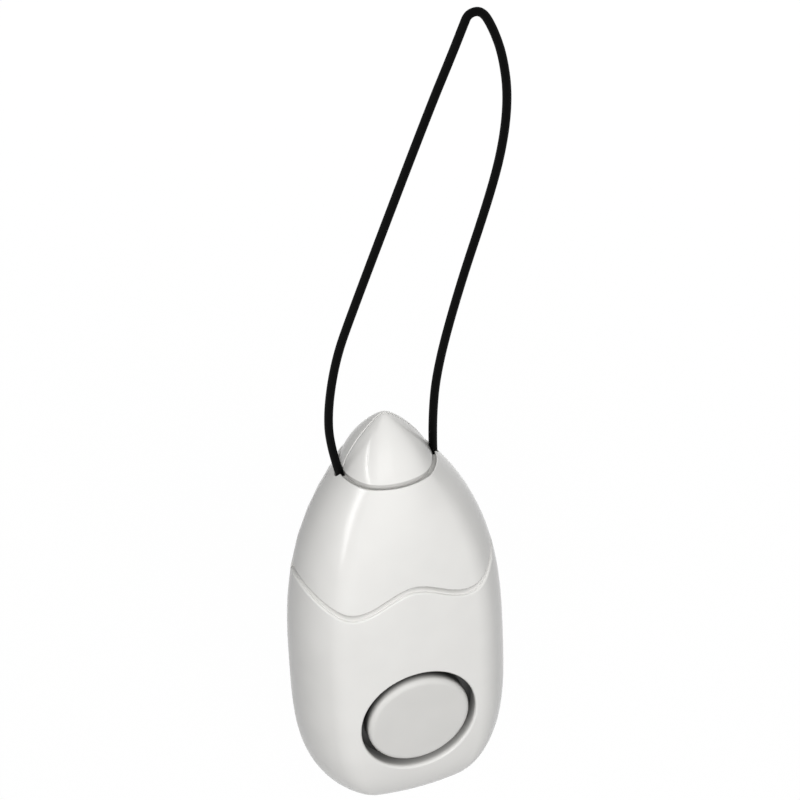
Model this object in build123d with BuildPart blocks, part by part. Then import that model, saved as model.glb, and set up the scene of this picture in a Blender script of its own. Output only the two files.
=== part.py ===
from build123d import *
from math import asin, atan2, cos, degrees, hypot, pi, radians, sin, sqrt, tan
import os

# A vibration alarm that hangs by a cord loop from a door handle: an egg-shaped moulded case with a
# wavy seam across its front, a large push button low down and a pointed nose between the cord's ends.
# Millimetres. The origin is the inside of the loop's top, where the handle bears. +Z is up, the front
# faces -Y and +X is to the right of someone looking at the front. Heights are measured from the foot.

# The case
case_width = 54.0
case_front_depth = 17.0
case_rear_depth = 14.6
back_depth = 12.6
widest_height = 39.8
collar_height = 96.5
collar_width = 24.6
collar_depth = 12.2
lower_width_power = 3.17
upper_width_power = 2.87
lower_depth_power = 3.9
upper_depth_power = 4.0
front_radius = 150.0
collar_front_radius = 15.0
panel_share = 0.6
corner_turn = 45.0
side_share = 0.88
foot_angle = 5.0
lower_bands = 9
upper_bands = 9
inner_sides = 24
inner_bands = 5
wall = 1.8
parting_depth = 4.0
seam_gap = 0.25
overcut = 1.0

# The wavy seam between the two front covers, and the step below it
seam_crest = 69.4
seam_trough = 64.6
trough_offset = 14.0
seam_shoulder = 70.3
shoulder_offset = 24.4
seam_end_rise = 5.5
seam_end_offset = 30.0
step_width = 1.2
step_depth = 0.6

# The collar and the nose
deck_thickness = 2.5
opening_radius = 9.6
ledge_drop = 0.9
nose_inset = 1.2
nose_groove = 0.55
nose_top = 110.4
nose_lower_power = 1.40
nose_upper_power = 1.225
nose_wall = 1.6
nose_halves_gap = 0.15
flange_radius = 10.3
flange_thickness = 1.3
flange_clearance = 0.15
neck_clearance = 0.2

# The button and its hole
button_height = 28.2
button_tilt = 4.5
hole_radius = 14.8
hole_lip = 0.7
sleeve_wall = 1.2
sleeve_depth = 4.7
button_gap = 1.7
button_recess = 0.35
button_edge = 1.0
button_face = 1.7
button_skirt_wall = 1.4
button_flange = 0.9
button_flange_thickness = 1.0
button_clearance = 0.15
post_radius = 3.0
post_depth = 4.0
socket_depth = 1.4

# The cord
cord_diameter = 2.1
cord_sides = 12
cord_bend_share = 0.45
cord_hole_clearance = 0.25
cord_hole_depth = 8.0
crimp_length = 4.6
crimp_wall = 0.85
crimp_clearance = 0.05
crimp_gap = 0.6
crimp_stub = 0.8
anchor_thickness = 2.0
anchor_half_depth = 2.6
anchor_inner = 8.4

# The batteries and their bay
cell_diameter = 10.5
cell_length = 44.5
cell_nub_radius = 1.9
cell_nub = 1.0
cell_gap = 0.6
cell_side_gap = 0.5
bay_bottom = 8.0
bay_top = 58.6
bay_wall = 1.2
cell_floor_gap = 0.2
cell_door_gap = 0.2
contact_thickness = 0.5
contact_width = 9.0
dimple_height = 0.9
dimple_radius = 2.0
leaf_thickness = 0.4
leaf_width = 5.0
leaf_reach = 4.0
leaf_crown = 1.2

# The battery door
door_half_width = 12.8
door_clearance = 0.2
door_top = 59.8
tongue_width = 1.0
tongue_thickness = 0.8
tongue_bottom = 13.0
grip_count = 4
grip_pitch = 1.8
grip_width = 0.9
grip_depth = 0.4
grip_length = 12.0
grip_drop = 3.4

# The circuit board and what stands on it
board_width = 33.0
board_bottom = 14.0
board_top = 71.0
board_thickness = 1.2
board_corner = 2.0
board_boss_length = 1.6
board_boss_radius = 2.2
board_screw_places = [(-10.2, 18.0), (10.2, 18.0), (0.0, 56.4)]
board_screw_radius = 0.9
board_screw_length = 4.0
board_screw_head_radius = 1.8
board_screw_head = 1.2
hole_play = 0.2
switch_side = 8.0
switch_depth = 6.5
switch_bore_depth = 4.0
plunger_side = 3.0
plunger_play = 0.16
plunger_inside = 2.2
sensor_x = -11.0
sensor_bottom = 50.0
sensor_length = 12.0
sensor_radius = 2.5
sensor_wall = 0.5
sensor_plug = 1.3
sensor_pin_radius = 0.35
sensor_lead = 2.0
spring_outer = 1.15
spring_inner = 0.85
coil_place = (8.6, 62.0)
coil_radius = 4.3
coil_waist = 2.0
coil_flange = 1.0
coil_height = 7.0
winding_inset = 0.5
capacitor_place = (11.8, 49.0)
capacitor_radius = 3.15
capacitor_height = 9.0
capacitor_groove = 0.3
capacitor_groove_height = 1.4
capacitor_groove_rise = 0.4
chip_place = (-0.4, 48.6)
chip_size = (4.9, 3.9, 1.5)
chip_leg_count = 4
chip_leg_pitch = 1.27
chip_leg = (1.0, 0.42, 0.2)
transistor_place = (-2.5, 63.5)
transistor_radius = 2.3
transistor_flat = 1.4
transistor_height = 4.6
touch_gap = 0.1

# The siren behind the rear wall
siren_height = 75.0
siren_ring_radius = 12.3
siren_ring_wall = 1.3
siren_ring_depth = 4.6
piezo_radius = 11.9
piezo_thickness = 0.25
ceramic_radius = 7.5
siren_cap_depth = 2.6
siren_cap_wall = 1.2
slot_count = 5
slot_pitch = 3.2
slot_height = 1.5
slot_circle = 9.0

# The case screws
lower_screw_place = (20.0, 26.0)
upper_screw_place = (14.9, 82.0)
screw_radius = 1.25
screw_head_radius = 2.4
screw_head_height = 1.7
screw_length = 9.5
screw_seat_depth = 6.4
screw_slot = 0.7
screw_slot_length = 3.2
screw_slot_depth = 0.9
screw_play = 0.05
shank_play = 0.15
head_play = 0.2
boss_radius = 2.7
rear_boss_radius = 3.3

# The cord's route from the left end over the top to the right end: offset from the case's axis, height
cord_route = [
    (-12.0, 97.0), (-13.8, 105.2), (-13.6, 115.4), (-11.1, 128.2), (-7.0, 139.1), (13.8, 188.7),
    (20.3, 203.0), (23.1, 209.5), (24.4, 212.4), (27.7, 212.4), (30.2, 207.1), (32.3, 199.7),
    (33.3, 189.1), (31.8, 176.7), (28.1, 163.4), (19.8, 140.1), (13.7, 119.2), (12.0, 105.4),
    (11.9, 97.0),
]

# Worked out from the sizes above
cord_radius = cord_diameter / 2
loop_left, loop_right = cord_route[8], cord_route[9]
case_x = -(loop_left[0] + loop_right[0]) / 2
foot_z = cord_radius - loop_left[1]
cord_hole_radius = cord_radius + cord_hole_clearance
cell_radius = cell_diameter / 2
cell_x = cell_radius + cell_gap / 2
bay_half_width = cell_x + cell_radius + cell_side_gap
cell_axis_y = back_depth - wall - cell_door_gap - cell_radius
bay_floor_y = cell_axis_y - cell_radius - cell_floor_gap
board_back_y = bay_floor_y - bay_wall - board_boss_length
board_front_y = board_back_y - board_thickness
tray_rear_y = back_depth - wall - door_clearance / 2
door_inner_y = tray_rear_y + door_clearance
tongue_outer_y = door_inner_y + tongue_thickness
left_cell_top = bay_top - contact_thickness - dimple_height - touch_gap
left_cell_bottom = left_cell_top - cell_length
right_cell_bottom = bay_bottom + contact_thickness + dimple_height + touch_gap
right_cell_top = right_cell_bottom + cell_length
sleeve_radius = hole_radius + sleeve_wall
button_radius = hole_radius - button_gap
switch_front_y = board_front_y - switch_depth
screw_places = [
    (side * x, height) for side in (-1, 1) for x, height in (lower_screw_place, upper_screw_place)
]
far = 2 * case_width


def level(height):
    """The level plane at a height above the foot, centred on the case's axis."""
    return Plane(origin=(case_x, 0, foot_z + height), x_dir=(1, 0, 0), z_dir=(0, 0, 1))


def upright(y):
    """The upright plane at a depth, facing the front. Its own y is the height above the foot."""
    return Plane(origin=(case_x, y, foot_z), x_dir=(1, 0, 0), z_dir=(0, -1, 0))


def half_size(height, widest, neck, inset, lower_power, upper_power):
    """Half the case's width or depth at a height, on a surface that lies inset within its wall."""
    if height < widest_height:
        drop = (widest_height - height) / (widest_height - inset)
        return (widest - inset) * (1 - drop**lower_power) ** (1 / lower_power)
    span = collar_height - widest_height
    rise = (height - widest_height) / span
    slope = upper_power * (widest - neck) * rise ** (upper_power - 1) / span
    return widest - (widest - neck) * rise**upper_power - inset * sqrt(1 + slope**2)


def half_width(height, inset=0.0):
    return half_size(height, case_width / 2, collar_width / 2, inset, lower_width_power, upper_width_power)


def front_depth(height, inset=0.0):
    return half_size(height, case_front_depth, collar_depth, inset, lower_depth_power, upper_depth_power)


def rear_depth(height, inset=0.0):
    return half_size(height, case_rear_depth, collar_depth, inset, lower_depth_power, upper_depth_power)


def panel_radius(height, inset=0.0):
    """The radius of the gently crowned front panel, which tightens towards the foot and the collar."""
    if height < widest_height:
        return front_radius * (half_width(height, inset) / (case_width / 2)) ** 2
    rise = (height - widest_height) / (collar_height - widest_height)
    return 1 / (1 / front_radius + (1 / collar_front_radius - 1 / front_radius) * rise**4)


def oval_arcs(width, front, rear, panel):
    """A case outline's eight tangent arcs: crowned panel, softly creased corners, sides and back.

    Each is its centre, its radius, and the degrees at which it starts and through which it turns.
    """
    turn = asin(panel_share * width / panel)
    corner = radians(corner_turn)
    a, b = sin(corner) - sin(turn), 1 - sin(corner)
    c, d = cos(turn) - cos(corner), cos(corner)
    p, q = width - panel * sin(turn), front - panel * (1 - cos(turn))
    crease = (p * d - b * q) / (a * d - b * c)
    side = (a * q - c * p) / (a * d - b * c)
    crease_x = (panel - crease) * sin(turn)
    crease_y = panel - front - (panel - crease) * cos(turn)
    flank = side_share * rear
    back = (rear**2 - flank**2 + (width - flank) ** 2) / (2 * (rear - flank))
    join = degrees(atan2(back - rear, width - flank))
    turn = degrees(turn)
    return [
        ((0, panel - front), panel, 270 - turn, 2 * turn),
        ((crease_x, crease_y), crease, 270 + turn, corner_turn - turn),
        ((width - side, 0), side, 270 + corner_turn, 90 - corner_turn),
        ((width - flank, 0), flank, 0, join),
        ((0, rear - back), back, join, 180 - 2 * join),
        ((flank - width, 0), flank, 180 - join, join),
        ((side - width, 0), side, 180, 90 - corner_turn),
        ((-crease_x, crease_y), crease, 270 - corner_turn, corner_turn - turn),
    ]


def oval(plane, width, front, rear, panel):
    """The case outline as a smooth face."""
    with BuildSketch(plane) as outline:
        with BuildLine():
            for centre, radius, start, turn in oval_arcs(width, front, rear, panel):
                CenterArc(centre, radius, start, turn)
        make_face()
    return outline.sketch


def faceted_oval(plane, width, front, rear, panel):
    """The straight-sided outline round an oval. Its sides face the same ways at every height."""
    arcs = oval_arcs(width, front, rear, panel)
    step = 360 / inner_sides
    reaches = []
    for k in range(inner_sides):
        facing = k * step
        centre, radius = next(
            (centre, radius) for centre, radius, start, turn in arcs if (facing - start) % 360 <= turn
        )
        reach = centre[0] * cos(radians(facing)) + centre[1] * sin(radians(facing)) + radius
        reaches.append(reach)
    corners = []
    for k, reach in enumerate(reaches):
        facing, beside = radians(k * step), radians((k + 1) * step)
        beyond_it = reaches[(k + 1) % inner_sides]
        corners.append((
            (reach * sin(beside) - beyond_it * sin(facing)) / sin(radians(step)),
            (beyond_it * cos(facing) - reach * cos(beside)) / sin(radians(step)),
        ))
    with BuildSketch(plane) as outline:
        with BuildLine():
            Polyline(*corners, close=True)
        make_face()
    return outline.sketch


def case_form(inset, top, shape, lower, upper):
    """The case's whole form, or one that lies inset within it, in bands below and above its widest."""
    low_span, high_span = widest_height - inset, top - widest_height
    power = 2 / lower_width_power
    low_turn, high_turn = radians(90 - foot_angle) / lower, radians(90) / upper
    first = radians(foot_angle)
    heights = [widest_height - low_span * cos(first + low_turn * k) ** power for k in range(lower)]
    heights += [widest_height + high_span * sin(high_turn * k) for k in range(upper + 1)]
    outlines = [
        shape(
            level(h), half_width(h, inset), front_depth(h, inset), rear_depth(h, inset),
            panel_radius(h, inset),
        )
        for h in heights
    ]
    with BuildPart() as form:
        loft(outlines, ruled=True)
        split(bisect_by=Plane.XZ.offset(inset - back_depth), keep=Keep.TOP)
    return form.part


def seam_side(drop, above):
    """A deep block through the case, bounded below (or above) by the wavy seam lowered by drop."""
    wave = [
        (-seam_end_offset, seam_shoulder + seam_end_rise), (-shoulder_offset, seam_shoulder),
        (-trough_offset, seam_trough), (0, seam_crest), (trough_offset, seam_trough),
        (shoulder_offset, seam_shoulder), (seam_end_offset, seam_shoulder + seam_end_rise),
    ]
    wave = [(x, height - drop) for x, height in wave]
    edge = collar_height + nose_top if above else -nose_top
    with BuildPart() as block:
        with BuildSketch(upright(0)):
            with BuildLine():
                Spline(*wave)
                Polyline(wave[-1], (seam_end_offset, edge), (-seam_end_offset, edge), wave[0])
            make_face()
        extrude(amount=far, both=True)
    return block.part


def depth_slab(near, back):
    """Everything between two depths, near the front and back towards the rear."""
    with BuildPart() as slab:
        with BuildSketch(upright(back)):
            Rectangle(far, 3 * far)
        extrude(amount=back - near)
    return slab.part


def button_plane(depth):
    """The plane across the button's axis at a depth below the case's surface, facing out."""
    origin = Vector(case_x, -front_depth(button_height), foot_z + button_height)
    return Plane(origin=origin + button_inward * depth, x_dir=(1, 0, 0), z_dir=-button_inward)


def cylinder_between(start, end, radius):
    """A round bar between two (offset, height) points in the case's middle plane."""
    with BuildPart() as bar:
        a = Vector(case_x + start[0], 0, foot_z + start[1])
        b = Vector(case_x + end[0], 0, foot_z + end[1])
        with BuildSketch(Plane(origin=a, x_dir=(0, 1, 0), z_dir=b - a)):
            Circle(radius)
        extrude(amount=(b - a).length)
    return bar.part


def beyond(point, towards, distance):
    """The point at a distance from point, on the line that comes from towards."""
    dx, dz = point[0] - towards[0], point[1] - towards[1]
    reach = distance / hypot(dx, dz)
    return (point[0] + dx * reach, point[1] + dz * reach)


# The button's axis, and the plane through it in which its section is drawn: offset, depth
button_inward = Vector(0, cos(radians(button_tilt)), sin(radians(button_tilt)))
button_section = Plane(
    origin=button_plane(0).origin, x_dir=(1, 0, 0), z_dir=button_inward.cross(Vector(-1, 0, 0))
)
siren_ring_y = back_depth - wall - siren_ring_depth

# The forms that the shells share
deck_bottom = collar_height - deck_thickness
outer_form = case_form(0, collar_height, oval, lower_bands, upper_bands)
step_form = case_form(step_depth, deck_bottom, oval, inner_bands, inner_bands)
cavity_form = case_form(wall, deck_bottom, faceted_oval, inner_bands, inner_bands)
front_side = depth_slab(-far, parting_depth - seam_gap / 2)
rear_side = depth_slab(parting_depth + seam_gap / 2, far)
cord_runs = [(cord_route[0], cord_route[1]), (cord_route[-1], cord_route[-2])]
cord_holes = [
    cylinder_between(beyond(exit, beside, cord_hole_depth), beside, cord_hole_radius)
    for exit, beside in cord_runs
]
ledge_height = collar_height - ledge_drop
nose_half_width = collar_width / 2 - nose_inset
nose_depth = collar_depth - nose_inset

# The hollow shell that the three covers are cut from
with BuildPart() as shell:
    add(outer_form)
    add(cavity_form, mode=Mode.SUBTRACT)
    groove = oval(
        level(ledge_height), nose_half_width + nose_groove, nose_depth + nose_groove,
        nose_depth + nose_groove, collar_front_radius,
    )
    extrude(groove, amount=ledge_drop + overcut, mode=Mode.SUBTRACT)
    with BuildSketch(level(ledge_height)):
        Circle(opening_radius)
    extrude(amount=-deck_thickness, mode=Mode.SUBTRACT)

# Front upper cover: from the wavy seam up to the collar, with its screw bosses and the cord's anchors
with BuildPart() as front_upper_cover:
    with BuildSketch(upright(parting_depth - seam_gap / 2)):
        with Locations(*[(side * upper_screw_place[0], upper_screw_place[1]) for side in (-1, 1)]):
            Circle(boss_radius)
    extrude(amount=far)
    with BuildSketch(upright(anchor_half_depth)):
        for exit, beside in cord_runs:
            x, height = beyond(exit, beside, cord_hole_depth - anchor_thickness)
            side = 1 if x > 0 else -1
            with Locations((side * (anchor_inner + far / 2), height)):
                Rectangle(far, anchor_thickness)
    extrude(amount=2 * anchor_half_depth)
    add(outer_form, mode=Mode.INTERSECT)
    add(shell.part)
    with BuildSketch(upright(parting_depth)):
        with Locations(*[(side * upper_screw_place[0], upper_screw_place[1]) for side in (-1, 1)]):
            Circle(screw_radius + screw_play)
    extrude(amount=screw_length, mode=Mode.SUBTRACT)
    add(cord_holes, mode=Mode.SUBTRACT)
    add(front_side, mode=Mode.INTERSECT)
    add(seam_side(0, above=True), mode=Mode.INTERSECT)
front_upper_cover.part.label = "front_upper_cover"


# Front lower cover: from the foot up to the seam, with a step along the seam and the button's sleeve
with BuildPart() as seam_step:
    add(seam_side(0, above=False))
    add(seam_side(seam_gap + step_width, above=False), mode=Mode.SUBTRACT)
    add(step_form, mode=Mode.SUBTRACT)

with BuildPart() as front_lower_cover:
    with BuildSketch(button_plane(sleeve_depth)):
        Circle(sleeve_radius)
    extrude(amount=far)
    with BuildSketch(upright(parting_depth - seam_gap / 2)):
        with Locations(*[(side * lower_screw_place[0], lower_screw_place[1]) for side in (-1, 1)]):
            Circle(boss_radius)
    extrude(amount=far)
    add(outer_form, mode=Mode.INTERSECT)
    add(shell.part)
    with BuildSketch(button_plane(0)):
        Circle(hole_radius)
    extrude(amount=far, both=True, mode=Mode.SUBTRACT)
    with BuildSketch(upright(parting_depth)):
        with Locations(*[(side * lower_screw_place[0], lower_screw_place[1]) for side in (-1, 1)]):
            Circle(screw_radius + screw_play)
    extrude(amount=screw_length, mode=Mode.SUBTRACT)
    add(seam_step.part, mode=Mode.SUBTRACT)
    add(front_side, mode=Mode.INTERSECT)
    add(seam_side(seam_gap, above=False), mode=Mode.INTERSECT)
    rim = front_lower_cover.edges().filter_by(lambda e: abs(e.length - 2 * pi * hole_radius) < 1)
    fillet(rim.sort_by(Axis.Y)[0], hole_lip)
front_lower_cover.part.label = "front_lower_cover"

# Rear cover: flat back, battery bay, screw columns, siren ring, sound slots and the door's slide
with BuildPart() as rear_shell:
    add(shell.part)
    add(rear_side, mode=Mode.INTERSECT)

with BuildPart() as rear_cover:
    with BuildSketch(upright(bay_floor_y - bay_wall)):
        with Locations((0, (bay_bottom + bay_top) / 2)):
            Rectangle(2 * (bay_half_width + bay_wall), bay_top - bay_bottom + 2 * bay_wall)
    extrude(amount=bay_floor_y - bay_wall - tray_rear_y)
    with BuildSketch(upright(board_back_y)):
        with Locations(*board_screw_places):
            Circle(board_boss_radius)
    extrude(amount=-board_boss_length)
    with BuildSketch(upright(parting_depth + seam_gap / 2)):
        with Locations(*screw_places):
            Circle(rear_boss_radius)
    extrude(amount=-far)
    with BuildSketch(upright(siren_ring_y)):
        with Locations((0, siren_height)):
            Circle(siren_ring_radius)
            Circle(siren_ring_radius - siren_ring_wall, mode=Mode.SUBTRACT)
    extrude(amount=-siren_ring_depth)
    add(outer_form, mode=Mode.INTERSECT)
    add(rear_shell.part)
    with BuildSketch(upright(bay_floor_y)):
        with Locations((0, (bay_bottom + bay_top) / 2)):
            Rectangle(2 * bay_half_width, bay_top - bay_bottom)
    extrude(amount=-far, mode=Mode.SUBTRACT)
    with BuildSketch(upright(tray_rear_y)):
        with Locations((0, door_top + door_clearance)):
            Rectangle(2 * (door_half_width + door_clearance), far, align=(Align.CENTER, Align.MAX))
    extrude(amount=-far, mode=Mode.SUBTRACT)
    with BuildSketch(upright(tray_rear_y)):
        with Locations((0, door_top + door_clearance)):
            Rectangle(
                2 * (door_half_width + tongue_width + door_clearance), far,
                align=(Align.CENTER, Align.MAX),
            )
    extrude(amount=tray_rear_y - tongue_outer_y - door_clearance, mode=Mode.SUBTRACT)
    with BuildSketch(upright(back_depth - wall - overcut)):
        for k in range(slot_count):
            offset = (k - (slot_count - 1) / 2) * slot_pitch
            with Locations((0, siren_height + offset)):
                SlotOverall(2 * sqrt(slot_circle**2 - offset**2), slot_height)
    extrude(amount=-far, mode=Mode.SUBTRACT)
    with BuildSketch(upright(screw_seat_depth)):
        with Locations(*screw_places):
            Circle(screw_head_radius + head_play)
    extrude(amount=-far, mode=Mode.SUBTRACT)
    with BuildSketch(upright(parting_depth)):
        with Locations(*screw_places):
            Circle(screw_radius + shank_play)
    extrude(amount=-far, mode=Mode.SUBTRACT)
    with BuildSketch(upright(board_back_y)):
        with Locations(*board_screw_places):
            Circle(board_screw_radius + screw_play)
    extrude(amount=board_back_y - bay_floor_y, mode=Mode.SUBTRACT)
rear_cover.part.label = "rear_cover"

# Battery door: the piece of the case that fills the slide, with a tongue along each side and grip ribs
with BuildPart() as battery_door:
    with BuildSketch(upright(door_inner_y)):
        with Locations((0, door_top)):
            Rectangle(2 * door_half_width, far, align=(Align.CENTER, Align.MAX))
    extrude(amount=-far)
    with BuildSketch(upright(door_inner_y)):
        with Locations((0, door_top)):
            Rectangle(
                2 * (door_half_width + tongue_width), door_top - tongue_bottom,
                align=(Align.CENTER, Align.MAX),
            )
    extrude(amount=-tongue_thickness)
    add(outer_form, mode=Mode.INTERSECT)
    with BuildSketch(upright(back_depth - grip_depth)):
        for k in range(grip_count):
            with Locations((0, door_top - grip_drop - k * grip_pitch)):
                SlotOverall(grip_length, grip_width)
    extrude(amount=-far, mode=Mode.SUBTRACT)
battery_door.part.label = "battery_door"

# The nose: a rounded cone in two halves, whose neck and flange sit in the collar's opening
nose_stations = (0.0, 0.14, 0.28, 0.42, 0.56, 0.69, 0.80, 0.89, 0.95, 0.985)
nose_outlines = []
for station in nose_stations:
    share = (1 - station**nose_lower_power) ** (1 / nose_upper_power)
    nose_outlines.append(oval(
        level(collar_height + station * (nose_top - collar_height)), share * nose_half_width,
        share * nose_depth, share * nose_depth, share * collar_front_radius,
    ))
flange_top = deck_bottom - flange_clearance
neck_radius = opening_radius - neck_clearance
bore_radius = neck_radius - nose_wall

with BuildPart() as nose:
    loft(nose_outlines, ruled=True)
    extrude(nose_outlines[0], amount=-ledge_drop)
    with BuildSketch(level(ledge_height)):
        Circle(neck_radius)
    extrude(amount=flange_top - ledge_height)
    with BuildSketch(level(flange_top)):
        Circle(flange_radius)
    extrude(amount=-flange_thickness)
    with BuildSketch(upright(0)):
        with BuildLine():
            Polyline(
                (0, flange_top - flange_thickness), (bore_radius, flange_top - flange_thickness),
                (bore_radius, collar_height), (bore_radius / 2, nose_top - 3 * nose_wall),
                (0, nose_top - 2 * nose_wall), close=True,
            )
        make_face()
    revolve(axis=Axis(level(0).origin, (0, 0, 1)), mode=Mode.SUBTRACT)
    add(cord_holes, mode=Mode.SUBTRACT)

with BuildPart() as nose_front:
    add(nose.part)
    add(depth_slab(-far, -nose_halves_gap / 2), mode=Mode.INTERSECT)
nose_front.part.label = "nose_front"

with BuildPart() as nose_rear:
    add(nose.part)
    add(depth_slab(nose_halves_gap / 2, far), mode=Mode.INTERSECT)
nose_rear.part.label = "nose_rear"

# Button: a flat-faced cup with a flange behind the sleeve and a post that holds the switch's plunger
flange_depth = sleeve_depth + button_clearance
with BuildPart() as button:
    with BuildSketch(button_section):
        with BuildLine():
            Polyline(
                (0, button_recess), (button_radius, button_recess), (button_radius, flange_depth),
                (hole_radius + button_flange, flange_depth),
                (hole_radius + button_flange, flange_depth + button_flange_thickness),
                (button_radius - button_skirt_wall, flange_depth + button_flange_thickness),
                (button_radius - button_skirt_wall, button_recess + button_face),
                (post_radius, button_recess + button_face), (post_radius, post_depth),
                (0, post_depth), close=True,
            )
        make_face()
    revolve(axis=Axis(button_section.origin, button_inward))
    with BuildSketch(Plane(origin=button_plane(post_depth).origin, x_dir=(1, 0, 0), z_dir=button_inward)):
        Rectangle(plunger_side + 2 * plunger_play, plunger_side + 2 * plunger_play)
    extrude(amount=-socket_depth, mode=Mode.SUBTRACT)
    face_edge = button.edges().filter_by(GeomType.CIRCLE).sort_by(Axis.Y)[0]
    fillet(face_edge, button_edge)
button.part.label = "button"

# Cord: one loop on straight runs joined by tangent arcs, and its two tails inside the case
cord_points = [Vector(case_x + x, 0, foot_z + height) for x, height in cord_route]
cord_bends = []
for before, point, after in zip(cord_points, cord_points[1:], cord_points[2:]):
    shorter = min((point - before).length, (after - point).length)
    turn = radians((point - before).get_angle(after - point))
    cord_bends.append(cord_bend_share * shorter / tan(turn / 2))
print("cord bend radii:", [round(r, 1) for r in cord_bends])

with BuildPart() as hanging_cord:
    with BuildLine() as cord_line:
        FilletPolyline(*cord_points, radius=cord_bends)
    cord_start = Plane(origin=cord_points[0], x_dir=(0, 1, 0), z_dir=cord_points[1] - cord_points[0])
    with BuildSketch(cord_start) as cord_section:
        RegularPolygon(cord_radius, cord_sides)
    sweep()
hanging_cord.part.label = "hanging_cord"
cord_length = sum(edge.length for edge in cord_line.edges())
print("cord length:", cord_length, "by its volume:", hanging_cord.part.volume / cord_section.sketch.area)

anchor_end = cord_hole_depth - anchor_thickness / 2
crimp_start = anchor_end + crimp_gap
crimp_end = crimp_start + crimp_length
cord_ends = []
cord_crimps = []
for exit, beside in cord_runs:
    tail_end = beyond(exit, beside, crimp_end + crimp_stub)
    cord_ends.append(cylinder_between(exit, tail_end, cord_radius))
    crimp_top = beyond(exit, beside, crimp_start)
    crimp_bottom = beyond(exit, beside, crimp_end)
    with BuildPart() as crimp:
        add(cylinder_between(crimp_top, crimp_bottom, cord_radius + crimp_clearance + crimp_wall))
        add(cylinder_between(exit, tail_end, cord_radius + crimp_clearance), mode=Mode.SUBTRACT)
    cord_crimps.append(crimp.part)

# Circuit board, its screws and its parts
with BuildPart() as circuit_board:
    with BuildSketch(upright(board_back_y)):
        with Locations((0, (board_bottom + board_top) / 2)):
            RectangleRounded(board_width, board_top - board_bottom, board_corner)
        with Locations(*board_screw_places):
            Circle(board_screw_radius + hole_play, mode=Mode.SUBTRACT)
    extrude(amount=board_thickness)
circuit_board.part.label = "circuit_board"

with BuildPart() as board_screws:
    with BuildSketch(upright(board_front_y)):
        with Locations(*board_screw_places):
            Circle(board_screw_radius)
    extrude(amount=-board_screw_length)
    with BuildSketch(upright(board_front_y)):
        with Locations(*board_screw_places):
            Circle(board_screw_head_radius)
    extrude(amount=board_screw_head)
board_screws.part.label = "board_screws"

switch_height = button_height + post_depth * sin(radians(button_tilt))
with BuildPart() as switch_body:
    with BuildSketch(upright(board_front_y)):
        with Locations((0, switch_height)):
            Rectangle(switch_side, switch_side)
    extrude(amount=switch_depth)
    with BuildSketch(upright(switch_front_y)):
        with Locations((0, switch_height)):
            Rectangle(plunger_side + 2 * plunger_play, plunger_side + 2 * plunger_play)
    extrude(amount=-switch_bore_depth, mode=Mode.SUBTRACT)
switch_body.part.label = "switch_body"

plunger_tip_y = button_plane(post_depth - socket_depth + hole_play).origin.Y
with BuildPart() as switch_plunger:
    with BuildSketch(upright(switch_front_y + plunger_inside)):
        with Locations((0, switch_height)):
            Rectangle(plunger_side, plunger_side)
    extrude(amount=switch_front_y + plunger_inside - plunger_tip_y)
switch_plunger.part.label = "switch_plunger"

# Vibration sensor: a can with a pin up its middle and a fine spring that sways round the pin
sensor_axis_y = board_front_y - touch_gap - sensor_radius
sensor_top = sensor_bottom + sensor_length


def sensor_level(height):
    return Plane(origin=(case_x + sensor_x, sensor_axis_y, foot_z + height))


with BuildPart() as sensor_can:
    with BuildSketch(sensor_level(sensor_bottom)):
        Circle(sensor_radius)
    extrude(amount=sensor_length)
    with BuildSketch(sensor_level(sensor_bottom + sensor_plug)):
        Circle(sensor_radius - sensor_wall)
    extrude(amount=sensor_length - sensor_plug - sensor_wall, mode=Mode.SUBTRACT)
    with BuildSketch(sensor_level(sensor_bottom)):
        Circle(sensor_pin_radius + screw_play)
    extrude(amount=sensor_plug, mode=Mode.SUBTRACT)
sensor_can.part.label = "sensor_can"

with BuildPart() as sensor_pin:
    with BuildSketch(sensor_level(sensor_bottom - sensor_lead)):
        Circle(sensor_pin_radius)
    extrude(amount=sensor_lead + sensor_length - sensor_plug)
sensor_pin.part.label = "sensor_pin"

with BuildPart() as sensor_spring:
    with BuildSketch(sensor_level(sensor_bottom + sensor_plug + touch_gap)):
        Circle(spring_outer)
        Circle(spring_inner, mode=Mode.SUBTRACT)
    extrude(amount=sensor_length - 3 * sensor_plug)
sensor_spring.part.label = "sensor_spring"


def standing(place, half_section):
    """A round component on the board, turned from its half section: radius, height off the board."""
    base = Plane(
        origin=(case_x + place[0], board_front_y, foot_z + place[1]), x_dir=(1, 0, 0), z_dir=(0, 0, 1)
    )
    with BuildPart() as turned:
        with BuildSketch(base):
            with BuildLine():
                Polyline(*[(radius, -off) for radius, off in half_section], close=True)
            make_face()
        revolve(axis=Axis(base.origin, (0, 1, 0)))
    return turned.part


coil_core = standing(coil_place, [
    (0, 0), (coil_radius, 0), (coil_radius, coil_flange), (coil_waist, coil_flange),
    (coil_waist, coil_height - coil_flange), (coil_radius, coil_height - coil_flange),
    (coil_radius, coil_height), (0, coil_height),
])
coil_winding = standing(coil_place, [
    (coil_waist + screw_play, coil_flange + screw_play),
    (coil_radius - winding_inset, coil_flange + screw_play),
    (coil_radius - winding_inset, coil_height - coil_flange - screw_play),
    (coil_waist + screw_play, coil_height - coil_flange - screw_play),
])
capacitor = standing(capacitor_place, [
    (0, 0), (capacitor_radius, 0),
    (capacitor_radius, capacitor_groove_height - capacitor_groove_rise),
    (capacitor_radius - capacitor_groove, capacitor_groove_height),
    (capacitor_radius, capacitor_groove_height + capacitor_groove_rise),
    (capacitor_radius, capacitor_height), (0, capacitor_height),
])

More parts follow.
